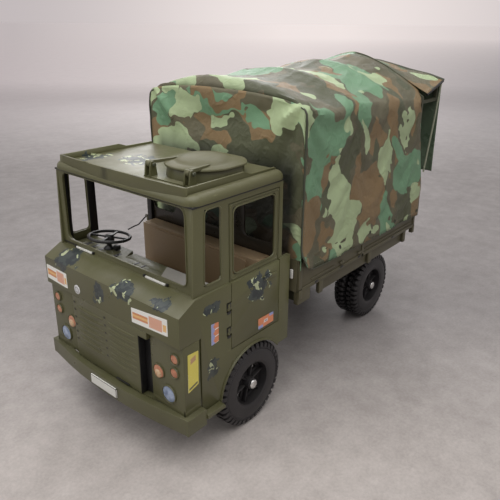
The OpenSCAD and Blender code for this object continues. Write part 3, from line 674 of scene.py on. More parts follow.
def makeRoof():
    crown = bmesh.new()
    low = (roof["rear"] - 2, -roof["half"], roof["low"])
    high = (roof["front"] - 1, roof["half"], roof["crown"])
    centre = [(l + h) / 2 for l, h in zip(low, high)]
    size = [h - l for l, h in zip(low, high)]
    bmesh.ops.create_cube(crown, size=1, matrix=Matrix.Translation(centre) @ Matrix.Diagonal((*size, 1)))
    rounding = {"profile": 0.5, "affect": "EDGES", "clamp_overlap": True}
    upright = [e for e in crown.edges if abs(e.verts[0].co.z - e.verts[1].co.z) > 1]
    bmesh.ops.bevel(crown, geom=upright, offset=roof["corner"], segments=5, **rounding)
    top = [e for e in crown.edges
           if all(abs(v.co.z - roof["crown"]) < 0.01 for v in e.verts) and len(e.link_faces) == 2]
    bmesh.ops.bevel(crown, geom=top, offset=roof["edge"] - 0.8, segments=6, **rounding)
    made = fromShape("roofCrown", crown)
    hole, inner = bmesh.new(), bmesh.new()
    radius = roof["hole"]
    bmesh.ops.create_cone(hole, cap_ends=True, segments=72, radius1=radius, radius2=radius, depth=40,
                          matrix=Matrix.Translation((hatch["x"], hatch["y"], 300)))
    block(inner, (roof["rear"] + 5, -roof["half"] + 9, 280),
          (roof["front"] - 10, roof["half"] - 9, roof["crown"] - 2.4))
    cutters = [fromShape("hole", hole, False), fromShape("inner", inner, False)]
    for cutter in reversed(cutters):
        cutAway(made, cutter)
    lips = bmesh.new()
    bow = [(-108 + 216 * i / 24) for i in range(25)]
    ring = [(roof["front"] - 1.2 - 3.2 * (abs(y) / 108) ** 3, y) for y in bow]
    foot, lip = roof["lipFoot"], roof["lip"]
    for (x0, y0), (x1, y1) in zip(ring, ring[1:]):
        panelPlate(lips, [(x0, y0, foot), (x1, y1, foot), (x1 - 0.9, y1, lip), (x0 - 0.9, y0, lip)], (-2.8, 0, 0))
    for side in (-1, 1):
        outline = [(86.6, 306), (86.6, lip), (2, lip), (-9, roof["crown"] + 3), (-52, roof["crown"] + 2.2),
                   (-55, 306)]
        panelPlate(lips, [(x, side * 107.9, z) for x, z in outline], (0, -side * 2.8, 0), 1.2)
    bmesh.ops.remove_doubles(lips, verts=lips.verts, dist=0.02)
    lipObject = settled(bevelled(fromShape("lips", lips), 0.7, 2, 40))
    closed(merged("roof", [made, lipObject]), truck, roofPlastic, ["roof"])


makeRoof()
print("roof made")


def hatchOutline(r, squareness):  # round at the hinges, nearly square-cut behind
    points = []
    for c, s in circle(72):
        power = 2 + squareness * max(0.0, -c + 0.35)
        reach = (abs(c) ** power + abs(s) ** power) ** (-1 / power)
        points.append((c * min(reach, 1.12) * r, s * min(reach, 1.12) * r))
    return points


def makeHatch():
    midX, midY, hinge, pin, wallTop = hatch["x"], hatch["y"], hatch["hinge"], hatch["pin"], hatch["wall"]
    arms = [midY + offset for offset in hatch["arms"]]
    wall = bmesh.new()
    rings = []
    for r, z in ((40, 0), (42.6, 0), (41.4, wallTop - 1), (41.0, wallTop - 0.2), (38.6, wallTop - 0.2), (38.2, 0)):
        rings.append([wall.verts.new((midX + x * 0.96, midY + y * 0.96, hatch["base"] + z)) for x,
                      y in hatchOutline(r, 2.2)])
    for here, there in zip(rings, rings[1:]):
        bridged(wall, here, there, True)
    piece("hatchCollar", wall, roofPlastic, "hatch_collar")

    ears = bmesh.new()
    side = [(hinge - 6, 309), (hinge + 5, 309), (hinge + 3.4, 322), (hinge + 2.2, 326.4), (hinge - 2.4, 326.4),
            (hinge - 4, 322)]
    for y in arms:
        for step in (-4.75, 2.75):
            panelPlate(ears, [(x, y + step, z) for x, z in side], (0, 2, 0), 1.6)
    foot = [(hinge - 5, midY - 40), (hinge + 4, midY - 40), (hinge + 4, midY + 40), (hinge - 5, midY + 40)]
    panelPlate(ears, [(x, y, 309.1) for x, y in foot], (0, 0, 1.2), 2)
    piece("hatchEars", ears, roofPlastic, "hatch_ears")

    lid = bmesh.new()
    base = hatch["base"] + wallTop + 0.6
    rings = []
    for r, z in ((36, 0.2), (43.6, 0), (44.2, 0.9), (43.9, 2.2), (42.6, 3.0), (33.5, 3.4), (31.5, 3.9), (29.6, 5.3),
                 (26.5, 6.7), (21, 8.0), (14, 8.9), (7, 9.3)):
        square = 2.2 * max(0.0, min(1.0, (r - 30) / 8))
        rings.append([lid.verts.new((midX + x * 0.97, midY + y * 0.97, base + z)) for x,
                      y in hatchOutline(r, square)])
    for here, there in zip(rings, rings[1:]):
        bridged(lid, here, there, True)
    lid.faces.new(rings[-1])
    lid.faces.new(rings[0][::-1])
    for y in arms:
        toward = midY + (y - midY) * 0.72
        tip = [(hinge - 1, y - 2.2), (hinge - 1, y + 2.2), (0, toward + 1.2), (0, toward - 1.2)]
        low = [lid.verts.new((x, v, base + 2.4)) for x, v in tip]
        high = [lid.verts.new((x, v, base + (6.2 if x > 1 else 4.0))) for x, v in tip]
        lid.faces.new(high)
        lid.faces.new(low[::-1])
        bridged(lid, high, low)
        rod(lid, (hinge, y - 2.2, pin), (hinge, y + 2.2, pin), 3.6, 24)
    piece("hatchLid", lid, lidPlastic, "hatch_lid", "hatch_lid")

    pins = bmesh.new()
    for y in arms:
        rod(pins, (hinge, y - 6, pin), (hinge, y + 7, pin), 1.2, 16)
        added(pins, turnedShape([(0, 0), (2.1, 0), (2.4, 0.5), (1.9, 1.3), (0, 1.7)], 20, False),
              Matrix.Translation((hinge, y + 6.6, pin)) @ Matrix.Rotation(math.radians(-90), 4, "X"))
    piece("hatchPins", pins, darkPlastic, "hatch_pin")


makeHatch()
print("hatch made")

# the front: grille, lamps, stickers, bumper
front = {"ribs": 7, "ribStep": 8.0, "topRib": 142.5, "dotStep": 10.1, "dots": 6, "dotColumns": (-64.6, -5.0),
         "topDot": 147}


def makeFront():
    fromCad("grillePanel", "grille_panel", 1.0, cabPlastic)
    ribs, holes, beads = [], [], []
    steps = 12
    for y0, y1 in ((-60.5, -8.5), (-1.5, 50.5)):
        rib = bmesh.new()
        rings = []
        for i in range(steps + 1):
            y = y0 + (y1 - y0) * i / steps
            rise = math.sin(math.pi * i / steps) ** 0.35
            drop = -0.9 * math.sin(math.pi * i / steps)
            outline = [(114.4, 2.2), (114.9 + 0.9 * rise, 1.5), (115.1 + 1.5 * rise, -0.4),
                       (114.9 + 1.1 * rise, -1.3), (114.4, -1.6)]
            rings.append([rib.verts.new((x, y, front["topRib"] + z + drop)) for x, z in outline])
        for here, there in zip(rings, rings[1:]):
            bridged(rib, here, there, True)
        rib.faces.new(rings[0][::-1])
        rib.faces.new(rings[-1])
        down = (0, 0, -front["ribStep"] * mm)
        ribs.append(repeated(fromShape("rib", rib), "row", Count=front["ribs"], Step=down, Finish=cabPlastic))
    down, top = (0, 0, -front["dotStep"] * mm), front["topDot"]
    for y in front["dotColumns"]:
        hole, bead = bmesh.new(), bmesh.new()
        rod(hole, (114.2, y, top), (115.12, y, top), 1.55, 14)
        tube(bead, [(115.0, y + 1.9 * c, top + 1.9 * s) for c, s in circle(16)], 0.35, 6, True)
        holes.append(repeated(fromShape("hole", hole), "row", Count=front["dots"], Step=down, Finish=blackPlastic))
        beads.append(repeated(fromShape("bead", bead), "row", Count=front["dots"], Step=down, Finish=cabPlastic))
    closed(merged("grilleRibs", ribs), truck, cabPlastic)
    closed(merged("grilleHoles", holes), truck, blackPlastic)
    closed(merged("grilleBeads", beads), truck, cabPlastic)
    for side in ("left", "right"):
        fromCad("lampPanel_" + side, "lamp_panel_" + side, 0.8, cabPlastic)
    fromCad("slotPanel", "slot_panel", 0.6, blackPlastic)


makeFront()


lamps = {"x": 110.7, "headY": 97, "headZ": 90, "headR": 9.6, "markers": ((108, 138), (107, 121)), "markerR": 5.4,
         "creamY": 81.5, "creamZ": 112}


def forward(x, y, z):  # a turned shape's axis laid along +X
    return Matrix.Translation((x, y, z)) @ Matrix.Rotation(math.radians(90), 4, "Y")


def lampAt(shape, rim, y, z, r):
    onto = forward(lamps["x"], y, z)
    dome = [(r * math.sin(a), 0.6 + 1.5 * math.cos(a)) for a in (math.pi / 2 * k / 8 for k in range(9))]
    added(shape, turnedShape([(0, 0.6)] + dome + [(r, -0.3), (0, -0.3)], 40, False), onto)
    ring = [(r, -0.3), (r + 1.5, -0.3), (r + 1.5, 1.0), (r + 1.1, 1.7), (r + 0.4, 1.8), (r, 1.3)]
    added(rim, turnedShape(ring, 40), onto)


def makeLamps():
    clear, clearRim, orange, orangeRim, boss = [bmesh.new() for _ in range(5)]
    for side in (1, -1):
        lampAt(clear, clearRim, side * lamps["headY"], lamps["headZ"], lamps["headR"])
        for y, z in lamps["markers"]:
            lampAt(orange, orangeRim, side * y, z, lamps["markerR"])
        y, z = side * lamps["creamY"], lamps["creamZ"]
        base = [(0, 1.5), (5.2, 1.4), (7.0, 1.1), (7.7, 0.4), (7.9, -0.3), (0, -0.3)]
        added(orange, turnedShape(base, 40, False), forward(lamps["x"], y, z))
        rim = [(7.9, -0.3), (9.1, -0.3), (9.0, 0.9), (8.4, 1.2), (7.9, 0.8)]
        added(orangeRim, turnedShape(rim, 40), forward(lamps["x"], y, z))
        knob = [(0, 2.0), (2.6, 1.8), (4.6, 1.0), (5.2, 0), (0, 0)]
        added(boss, turnedShape(knob, 28, False), forward(lamps["x"] + 1.2, y, z - 2.4))
    piece("headlampGlass", clear, clearLens, "headlamps")
    piece("headlampRims", clearRim, cabPlastic)
    piece("orangeLamps", orange, orangeLens, "marker_lamps")
    piece("lampRims", orangeRim, cabPlastic)
    piece("lampBosses", boss, creamLens)


makeLamps()


def stickerOn(name, corners, lift, finish, body=truck, round=0.8):
    shape = bmesh.new()  # corners run round from the lower left; u goes along the first edge
    points = [Vector(c) for c in corners]
    outline = roundedOutline(points, round, 3)
    uv = shape.loops.layers.uv.new("cloth")
    panelPlate(shape, outline, lift)
    origin, across, up = points[0], points[1] - points[0], points[3] - points[0]
    facing = across.cross(up)
    for face in shape.faces:
        for loop in face.loops:
            offset = loop.vert.co - origin
            loop[uv].uv = (offset.cross(up).dot(facing) / facing.length_squared,
                           across.cross(offset).dot(facing) / facing.length_squared)
    return closed(fromShape(name, shape, False), body, finish)


stickers = [("stickerFrontLeft", [(46.5, 161), (104, 165), (104, 184.5), (46.5, 178.5)], frontSticker),
            ("stickerFrontRight", [(-118.5, 162.5), (-76, 160.5), (-76, 180), (-118.5, 181)], frontSticker)]
sideStickers = [("stickerYellow", [(105.6, 99), (90.4, 103.5), (89.7, 144), (104.8, 145)], yellowSticker, truck),
                ("stickerSide", [(69.7, 140), (58.5, 141.3), (58.5, 164.6), (69.7, 165.5)], sideSticker, truck),
                ("stickerDoor", [(-9.2, 124.7), (-37.6, 124.9), (-37.2, 137.9), (-9, 138.6)], doorSticker,
                 "door_left")]
for name, corners, finish in stickers:
    stickerOn(name, [(115.05, y, z) for y, z in corners], (0.25, 0, 0), finish)
for name, corners, finish, body in sideStickers:
    stickerOn(name, [(x, 121.05, z) for x, z in corners], (0, 0.25, 0), finish, body)

badge = {"x": 115.05, "y": -55.6, "z": 166, "ring": 3.3}


def makeBadge():
    shape, ring = bmesh.new(), bmesh.new()
    y, z, r = badge["y"], badge["z"], badge["ring"]
    disc = [(0, 0.5), (5.0, 0.5), (5.6, 0.3), (5.8, 0), (0, 0)]
    added(shape, turnedShape(disc, 40, False), forward(badge["x"], y, z))
    uv = shape.loops.layers.uv.new("cloth")
    for face in shape.faces:
        for loop in face.loops:
            loop[uv].uv = (0.5 + (loop.vert.co.y - y) / 12, 0.5 + (loop.vert.co.z - z) / 12)
    piece("badgeDisc", shape, badgeFinish)
    tube(ring, [(badge["x"] + 0.3, y + r * c, z + r * s) for c, s in circle(32)], 0.35, 6, True)
    piece("badgeRing", ring, darkPlastic)


makeBadge()

fromCad("bumperBar", "bumper", 3.2, cabPlastic, 4, 50)
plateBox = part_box("number_plate")
plateX = (plateBox[0].x - axleX) / mm
plateCorners = [(plateX, y, z) for y, z in ((-28, 54.6), (21.5, 54.6), (21.5, 67.6), (-28, 67.6))]
stickerOn("numberPlate", plateCorners, (1.4, 0, 0), plateFinish, truck, 1.2)
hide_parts("number_plate")
fromCad("cabSteps", "cab_steps", 0.8, cabPlastic)


def makeFrontTrim():
    trim = bmesh.new()
    block(trim, (96, -116, 66), (104, 116, 70.4), 1.2)              # the ledge joining the bumper to the cab
    half = [(93, 119.5), (103.8, 120.5), (107.5, 95), (112.5, 60), (115.5, 20)]
    outline = [Vector((x, y, 69.4)) for x, y in half] + [Vector((x, -y, 69.4)) for x, y in half[::-1]]
    panelPlate(trim, outline, (0, 0, 1.1))
    for side in (1, -1):
        block(trim, (108, side * 95 - 25.8, 70.2), (110.4, side * 95 + 25.8, 77.6), 0.3)
        block(trim, (87, side * 119.7 - 1.2, 70.2), (110.4, side * 119.7 + 1.2, 77.6), 0.3)
    piece("bumperLedge", trim, cabPlastic)
    dark = bmesh.new()
    for z in (145, 175):                                        # open slots of the door hinges
        block(dark, (38.4, 120.5, z - 0.6), (44.4, 121.2, z + 4.6), 0.1)
        block(dark, (38.4, 120.5, z - 8.6), (44.4, 121.2, z - 5.4), 0.1)
    block(dark, (103.5, 53.9, 71.8), (114.7, 54.5, 146.6), 0.1)
    block(dark, (97, 53.9, 71.2), (104, 69.4, 146.8), 0.2)
    block(dark, (114.6, 10, 72.8), (116.4, 34, 74.4), 0.3)
    block(dark, (88.4, -120.5, 205.3), (89.2, -88.5, 206.6), 0.2)
    for y in (-90.5, -54.5, 39.5, 76.5):
        block(dark, (86.8, y - 1.4, 203.4), (90.4, y + 1.4, 206.2), 0.5)
    # black strips under the roof's front and side edges: painted shadow of the roof's overhang
    block(dark, (84.9, -116, 297.6), (89.4, 116, 299.1), 0.2)
    for side in (1, -1):
        block(dark, (-56, side * 117.6 - 0.9, 297.2), (89.2, side * 117.6 + 0.9, 299.1), 0.2)
    piece("darkTrimAndShadowStrips", dark, blackPlastic)
    bars = bmesh.new()
    for y in (-72, 58):
        block(bars, (88.3, y - 16, 203.2), (90.9, y + 16, 205.6), 0.7)
    piece("sillBars", bars, whitePlastic, "wiper_bars")
    chip = bmesh.new()
    bmesh.ops.create_icosphere(chip, subdivisions=2, radius=2.6)
    for v in chip.verts:
        v.co *= 1 + 0.35 * noise.noise(v.co * 0.6 + Vector((3, 1, 7)))
        v.co.z *= 1.3
    chip.transform(Matrix.Translation((101.5, 117.5, 73.0)))
    piece("brokenPeg", chip, wornPlastic)


makeFrontTrim()
print("front made")


door = {"hinges": (145, 175), "hingeX": 41.4, "hingeY": 119.7, "skin": 118.1}


def beadRound(shape, corners, face, round, steps, radius):  # a raised bead round an opening, on the side of the cab
    tube(shape, roundedOutline([Vector((x, face, z)) for x, z in corners], round, steps), radius, 8, True)


def makeDoor():
    fromCad("doorLeft", "door_left", 0.8, doorPlastic, body="door_left")
    x, y = door["hingeX"], door["hingeY"]
    trim, pins, seal, edges = [bmesh.new() for _ in range(4)]
    beadRound(trim, [(-40.2, 209.6), (31.6, 209.6), (31.6, 285.6), (-40.2, 285.6)], door["skin"], 9, 6, 0.95)
    beadRound(trim, [(-45.6, 204.4), (35.8, 204.4), (35.8, 289.4), (-45.6, 289.4)], door["skin"] - 0.1, 5, 5, 0.8)
    block(trim, (-31, 120.8, 187.5), (-17, 123.4, 191.3), 0.8)  # the door's handle
    for z in door["hinges"]:
        rod(trim, (x, y, z - 4), (x, y, z + 4), 2.2, 20)
        rod(pins, (x, y, z - 8.6), (x, y, z + 8.6), 0.9, 12)
    piece("doorBeads", trim, doorPlastic, None, "door_left")
    piece("hingePins", pins, darkPlastic, "door_hinge_pin")
    beadRound(seal, [(49.6, 211), (75.6, 211), (73, 292.8), (49.6, 292.8)], door["skin"], 6, 5, 0.8)
    screen = [Vector((88.2, y, z)) for y, z in ((-106, 210), (106, 210), (106, 296), (-106, 296))]
    tube(seal, roundedOutline(screen, 10, 6), 0.8, 8, True)
    beadRound(seal, [(49.6, 211), (75.6, 211), (73, 292.8), (49.6, 292.8)], -door["skin"], 6, 5, 0.8)
    piece("windowBeads", seal, cabPlastic)
    arc = [math.radians(7 + (143 - 7) * k / 40) for k in range(41)]
    for side in (1, -1):
        tube(edges, [(56.9 * math.cos(a), side * 122.2, 54 + 56.9 * math.sin(a)) for a in arc], 1.0, 8)
    piece("edgeBeads", edges, cabPlastic)


makeDoor()
print("door made")

# inside the cab
wheelSpot = {"x": 59, "y": -62, "z": 215.5, "tilt": -7, "r": 25}


def makeControls():
    centre = Matrix.Translation((wheelSpot["x"], wheelSpot["y"], wheelSpot["z"]))
    onto = centre @ Matrix.Rotation(math.radians(wheelSpot["tilt"]), 4, "Y")
    rim = bmesh.new()
    tube(rim, [(wheelSpot["r"] * c, wheelSpot["r"] * s, 0) for c, s in circle(64)], 1.9, 12, True)
    for a in (30, 120, 210, 300):
        spoke = bmesh.new()
        block(spoke, (4, -1.6, -1.2), (24.2, 1.6, 1.1), 0.7)
        added(rim, spoke, Matrix.Rotation(math.radians(a), 4, "Z"))
    boss = [(0, 3.2), (3.6, 3.0), (5.2, 2.0), (6.0, 0.4), (6.0, -5.4), (3.2, -5.8), (3.2, -3), (0, -3)]
    added(rim, turnedShape(boss, 32, False))
    rim.transform(onto)
    piece("steeringWheel", rim, blackPlastic, "steering_wheel", "steering_wheel")
    column = bmesh.new()
    added(column, turnedShape([(0, -3.6), (2.9, -3.6), (2.9, -11), (6.4, -14), (6.8, -15.6), (0, -15.6)], 28, False),
          onto)
    block(column, (54, -53.2, 200.7), (61.5, -46.6, 207), 1.2)
    block(column, (56, -62, 200.7), (60, -48, 203.6), 0.8)
    piece("steeringColumn", column, blackPlastic, "steering_column")
    notches = bmesh.new()
    for y in (-98, -84, -70, -40):
        block(notches, (62, y, 198.6), (78.8, y + 6, 200.7), 0.6)
    for y in (-2, 10):
        block(notches, (64, y, 198.6), (77, y + 4, 200.7), 0.5)
    piece("dashNotches", notches, blackPlastic)
    lip = bmesh.new()
    block(lip, (50, -26, 196), (67, 112, 200.3), 0.8)
    piece("dashLip", lip, olivePlastic)
    worn = bmesh.new()
    corners = [(51.5, 34, 200.35), (51, 111, 200.35), (80, 111, 200.35), (79, 52, 200.35)]
    panelPlate(worn, corners, (0, 0, 0.4), 2)
    piece("wornStrip", worn, wornPlastic)
    lever = bmesh.new()
    tube(lever, [(53.5, -31, 231), (46, -30.4, 232.6), (38, -30.2, 233.5), (27, -30, 240.5)], 0.8, 8)
    piece("leverWire", lever, blackPlastic)
    knob = bmesh.new()
    bmesh.ops.create_uvsphere(knob, u_segments=20, v_segments=14, radius=2.0,
                              matrix=Matrix.Translation((25.4, -30, 241.5)))
    piece("leverKnob", knob, wornPlastic)
    shadePosts = bmesh.new()
    block(shadePosts, (-53, -116.6, 185), (-47, -108.5, 296), 0.8)              # inner post of the open doorway, black for painted shade
    block(shadePosts, (-54, -114.5, 186), (-44, -105.5, 197), 1.2)
    # black plates on the inner faces of the far side's window pillars: painted shade
    block(shadePosts, (38.2, -115.3, 204), (49.6, -114.6, 296), 0.2)
    block(shadePosts, (75.8, -115.3, 204), (84.6, -114.6, 296), 0.2)
    piece("shadedInnerPosts", shadePosts, blackPlastic)


makeControls()


def makeSeatPads():
    pads = bmesh.new()
    for y in (-84, 17):
        block(pads, (-30.2, y, 150), (-26.4, y + 68, 197.5), 1.8, 3)
    block(pads, (-50.6, -103.6, 198.5), (-30.5, 103.6, 201.8), 1.4, 3)
    for y in (-84, 17):
        block(pads, (-26, y, 141), (8, y + 68, 144.4), 1.6, 3)
    piece("seatPads", pads, seatPlastic)


makeSeatPads()
print("inside made")

# wheels
tyre = {"r": 54, "z": 54, "lugs": 38, "frontX": 0, "frontFace": 122, "frontWidth": 24, "rearX": -337, "rearFace": 97,
        "rearWidth": 42}


def lugRing(row, flip, twin):  # one ring of tread lugs, half a step out of line with the ring behind it
    profile = [(46.7, -0.15), (50.6, -0.9), (53.1, -2.6), (53.9, -4.6), (53.9, -10.2), (52.9, -11.2), (48.4, -11.2),
               (46.4, -3.0)]
    if twin:
        profile = [(r, max(h, -8.9)) for r, h in profile]
    lug = bmesh.new()
    near, far = [[lug.verts.new((way * (2.35 + (tyre["r"] - r) * 0.05), row * -1 + flip * h, r)) for r, h in profile]
                 for way in (1, -1)]
    lug.faces.new(near)
    lug.faces.new(far[::-1])
    bridged(lug, near, far)
    bmesh.ops.recalc_face_normals(lug, faces=lug.faces)
    lug.transform(Matrix.Diagonal((mm, mm, mm, 1)))
    start = 0.0 if flip == 1 else math.pi / tyre["lugs"]
    made = repeated(blankObject("lug", meshOf("lug", lug)), "ring", Count=tyre["lugs"], Start=start,
                    Finish=tyrePlastic)
    made.data.transform(Matrix.Translation((axleX, 0, 0)))
    return made


def wheelAt(name, body, x, face, side, width, twin):
    shape = bmesh.new()
    widths = [(0, width)] if not twin else [(0, (width - 3) / 2), ((width + 3) / 2, width)]
    for outer, inner in widths:
        w = inner - outer
        profile = [(28.2, -1.6), (29.4, -0.5), (31.5, 0), (35, -0.1), (43.2, -0.15), (44.2, -0.7), (44.7, -1.2),
                   (45.2, -0.8),
                   (45.9, -0.5), (47.6, -1.4), (48.9, -3.4), (49.3, -5.4), (49.3, -w + 5.4), (48.9, -w + 3.4),
                   (47.6, -w + 1.4), (45.9, -w + 0.5), (43.2, -w + 0.1), (31.5, -w), (28.2, -w + 1.2)]
        added(shape, turnedShape([(r, h - outer) for r, h in profile], 96))
    web = -width / 2 if not twin else -13
    back = -width + 0.6
    dish = [(28.6, -0.9), (27.6, -1.4), (26.9, web), (26.9, web - 4), (27.6, back), (28.6, back)]
    rim = [(27.4, web), (22.6, web - 0.3), (22.2, web - 4), (27.4, web - 4)]
    middle = [(0, web + 1), (9.8, web + 1), (10.4, web + 0.2), (10.4, web - 4), (0, web - 4)]
    hub = [(3.1, -1.0), (6.2, -1.0), (7.0, -1.8), (7.9, web + 1), (7.9, back), (3.1, back)]
    for profile, steps, loop in ((dish, 72, True), (rim, 72, True), (middle, 48, False), (hub, 48, True)):
        added(shape, turnedShape(profile, steps, loop))
    for k in range(6):
        spoke = bmesh.new()
        block(spoke, (8.5, -4.6, web - 3.8), (24.5, 4.6, web - 0.2), 0.9)
        block(spoke, (6.5, -0.9, web - 1), (26.8, 0.9, web + 5.2), 0.6)
        added(shape, spoke, Matrix.Rotation(math.tau * (k + 0.25) / 6, 4, "Z"))
    shape.transform(Matrix.Rotation(math.radians(-90), 4, "X"))  # height becomes the way out along Y
    pieces = [fromShape("wheelBody", shape)]
    pieces += [lugRing(row, flip, twin) for outer, inner in widths for row, flip in ((outer, 1), (inner, -1))]
    made = merged(name, pieces)
    if side < 0:
        made.data.transform(Matrix.Scale(-1, 4, (0, 1, 0)))
        made.data.flip_normals()
    made.data.transform(Matrix.Translation((x * mm, side * face * mm, tyre["z"] * mm)))
    closed(made, body, tyrePlastic, [body])


for label, side in (("left", 1), ("right", -1)):
    wheelAt("frontWheel_" + label, "front_wheel_" + label, tyre["frontX"], tyre["frontFace"], side,
            tyre["frontWidth"], False)
    wheelAt("rearWheel_" + label, "rear_wheel_" + label, tyre["rearX"], tyre["rearFace"], side, tyre["rearWidth"],
            True)
print("wheels made")


def makeAxle(name, node, x, face):
    shape = bmesh.new()
    rod(shape, (x, -face + 1, tyre["z"]), (x, face - 1, tyre["z"]), 2.95, 24)
    cap = [(0, 1.6), (2.4, 1.5), (4.4, 1.0), (5.6, 0.2), (6.0, -0.8), (6.0, -1.5), (0, -1.5)]
    for side in (1, -1):
        onto = Matrix.Translation((x, side * face, tyre["z"])) @ Matrix.Rotation(math.radians(-90 * side), 4, "X")
        added(shape, turnedShape(cap, 32, False), onto)
    piece(name, shape, chrome, node)


makeAxle("frontAxle", "front_axle", tyre["frontX"], tyre["frontFace"] + 1.0)
makeAxle("rearAxle", "rear_axle", tyre["rearX"], tyre["rearFace"] + 1.0)

# chassis and bed, with their rounding
for name, node, width, slotName, finish in (("chassisRails", "chassis_rails", 0.9, "dark_green_plastic", darkPlastic),
                                            ("crossMembers", "cross_members", 0.7, "dark_green_plastic", darkPlastic),
                                            ("bedBearers", "bed_bearers", 0.7, "dark_green_plastic", darkPlastic),
                                            ("bedFloor", "bed_floor", 0.6, "green_plastic", bedPlastic),
                                            ("headboard", "headboard", 0.8, "green_plastic", bedPlastic),
                                            ("bedSkirts", "bed_skirts", 0.8, "green_plastic", bedPlastic)):
    fromCad(name, node, width, finish)

bed = {"front": -76.5, "rear": -402.5, "inner": 126.4, "outer": 128.6, "face": 130, "low": 149, "top": 193}
gate = {"rear": -402.9, "front": -399.6, "half": 125.2, "low": 153.2, "top": 193, "pinX": -401.5, "pinZ": 151.5}


def makeBoards():
    rear, fore, low, top = bed["rear"], bed["front"], bed["low"], bed["top"]
    ribs = [(rear, low, fore, low + 5), (rear, top - 5, fore, top), (rear, low, rear + 6, top),
            (fore - 7, low, fore, top),
            (-236, low, -230, top), (-160, low + 9, -104, low + 11), (-390, low + 9, -240, low + 11)]
    for label, side in (("left", 1), ("right", -1)):
        shape = bmesh.new()
        sideBlock(shape, side, (rear, bed["inner"], low), (fore, bed["outer"], top), 0.5)
        for x0, z0, x1, z1 in ribs:
            sideBlock(shape, side, (x0, bed["outer"] - 0.4, z0), (x1, bed["face"], z1), 0.6)
        piece("sideBoard_" + label, shape, bedPlastic, "side_board_" + label)


def makeBedTrim():
    brackets = [((-84, 126, 140), (-76.5, 130.8, 152)), ((-104, 122, 132), (-77, 129, 149)),
                ((-402.8, 124, 139), (-396, 130.6, 152)), ((-133, 125.5, 131), (-124, 129.4, 149)),
                ((-262, 125.5, 131), (-253, 129.4, 149)), ((-374, 125.5, 131), (-366, 129.4, 149))]
    trim, notches, latches, tag = [bmesh.new() for _ in range(4)]
    for side in (1, -1):
        for start, end in brackets:
            sideBlock(trim, side, start, end, 0.8)
        for x in (-181, -228, -120, -330):
            sideBlock(notches, side, (x, 129.0, 150.6), (x + 8, 130.3, 153.6), 0.4)
        sideBlock(notches, side, (-300, 60, 76), (-288, 66, 103), 1.0)
        for x in (-181, -228):
            sideBlock(latches, side, (x + 1, 129.6, 157), (x + 10, 131.6, 160.5), 0.7)
    piece("bedBrackets", trim, bedPlastic)
    piece("bedNotches", notches, blackPlastic)
    piece("boardLatches", latches, bedPlastic, "board_latches")
    block(tag, (-75.4, 117.6, 168), (-73.2, 121.5, 180), 0.5)
    piece("paleTag", tag, whitePlastic)


def makeTailgate():
    shape, pin = bmesh.new(), bmesh.new()
    rear, fore, half, low, top = gate["rear"], gate["front"], gate["half"], gate["low"], gate["top"]
    x, z = gate["pinX"], gate["pinZ"]
    block(shape, (-402.6, -half, low), (-400.4, half, top), 0.5)
    for y0, y1 in ((-125, -119), (119, 125), (-44, -38), (38, 44)):
        block(shape, (rear, y0, low), (fore, y1, top), 0.5)
    for z0, z1 in ((low, 157.5), (188.5, top)):
        block(shape, (rear, -half, z0), (fore, half, z1), 0.6)
    for y in (-80, 0, 80):
        rod(shape, (x, y - 8, z), (x, y + 8, z), 2.7, 24)
        block(shape, (-402.7, y - 8, z), (-400.3, y + 8, 155.5), 0.4)
    piece("tailgate", shape, bedPlastic, "tailgate", "tailgate")
    rod(pin, (x, -126, z), (x, 126, z), 1.2, 16)
    piece("tailgatePin", pin, chrome, "tailgate_pin")


makeBoards()
makeTailgate()
makeBedTrim()
fromCad("hoops", "canopy_frame", 0.9, darkPlastic)
print("bed made")

# canvas: one sheet over the hoops, a front panel, a flap and a curtain behind
canvas = {"half": 132.0, "front": -75.5, "hoopRear": -395, "flapRear": -447, "low": 172, "across": 116, "along": 84,
          "crown": [(-75, 395.5), (-88, 402), (-114, 405), (-158, 405.5), (-220, 408), (-276, 412.5), (-350, 416.5),
                    (-396, 419.5)],
          "hoops": (-84, -186, -288, -391), "thick": 0.7, "columns": 84}


def between(table, x):
    for (x0, z0), (x1, z1) in zip(table, table[1:]):
        if x1 <= x <= x0:
            t = (x0 - x) / (x0 - x1)
            return z0 + (z1 - z0) * t
    return table[0][1] if x > table[0][0] else table[-1][1]


def roofHeight(x, y):
    share = max(0.0, min(1.0, (canvas["front"] - x) / (canvas["front"] - canvas["hoopRear"])))
    crown = between(canvas["crown"], x) - 7.5 * max(0.0, 1 - (canvas["front"] - x) / 11) ** 2
    edge = 377 - 19 * share
    power = 2.5 - 1.02 * share
    return edge + (crown - edge) * (1 - (min(abs(y), canvas["half"]) / canvas["half"]) ** power)


def spread(points, count):  # the same line with its points evenly spaced
    lengths = [0.0]
    for a, b in zip(points, points[1:]):
        lengths.append(lengths[-1] + (Vector(b) - Vector(a)).length)
    result, k = [], 0
    for i in range(count):
        target = lengths[-1] * i / (count - 1)
        while k < len(points) - 2 and lengths[k + 1] < target:
            k += 1
        t = (target - lengths[k]) / max(1e-9, lengths[k + 1] - lengths[k])
        result.append(tuple(Vector(points[k]).lerp(Vector(points[k + 1]), min(1.0, t))))
    return result


def section(x, low):
    half = canvas["half"]
    edge = roofHeight(x, half)
    points = [(half, low + (edge - low) * i / 30) for i in range(30)]
    points += [(half - 2 * half * i / 90, roofHeight(x, half - 2 * half * i / 90)) for i in range(91)]
    points += [(-half, edge + (low - edge) * (i + 1) / 30) for i in range(30)]
    line = spread(points, canvas["across"])
    for _ in range(3):
        line = [line[0]] + [tuple((Vector(line[k - 1]) + 2 * Vector(line[k]) + Vector(line[k + 1])) / 4)
                            for k in range(1, len(line) - 1)] + [line[-1]]
    return line


def heightTable(table, z):
    for (z0, x0), (z1, x1) in zip(table, table[1:]):
        if z0 <= z <= z1:
            return x0 + (x1 - x0) * (z - z0) / (z1 - z0)
    return table[0][1] if z < table[0][0] else table[-1][1]


def sideRear(z):  # the side sheets are cut back towards the top
    return heightTable([(150, -409), (212, -406), (296, -384), (350, -374), (362, -381), (370, -395), (430, -395)], z)


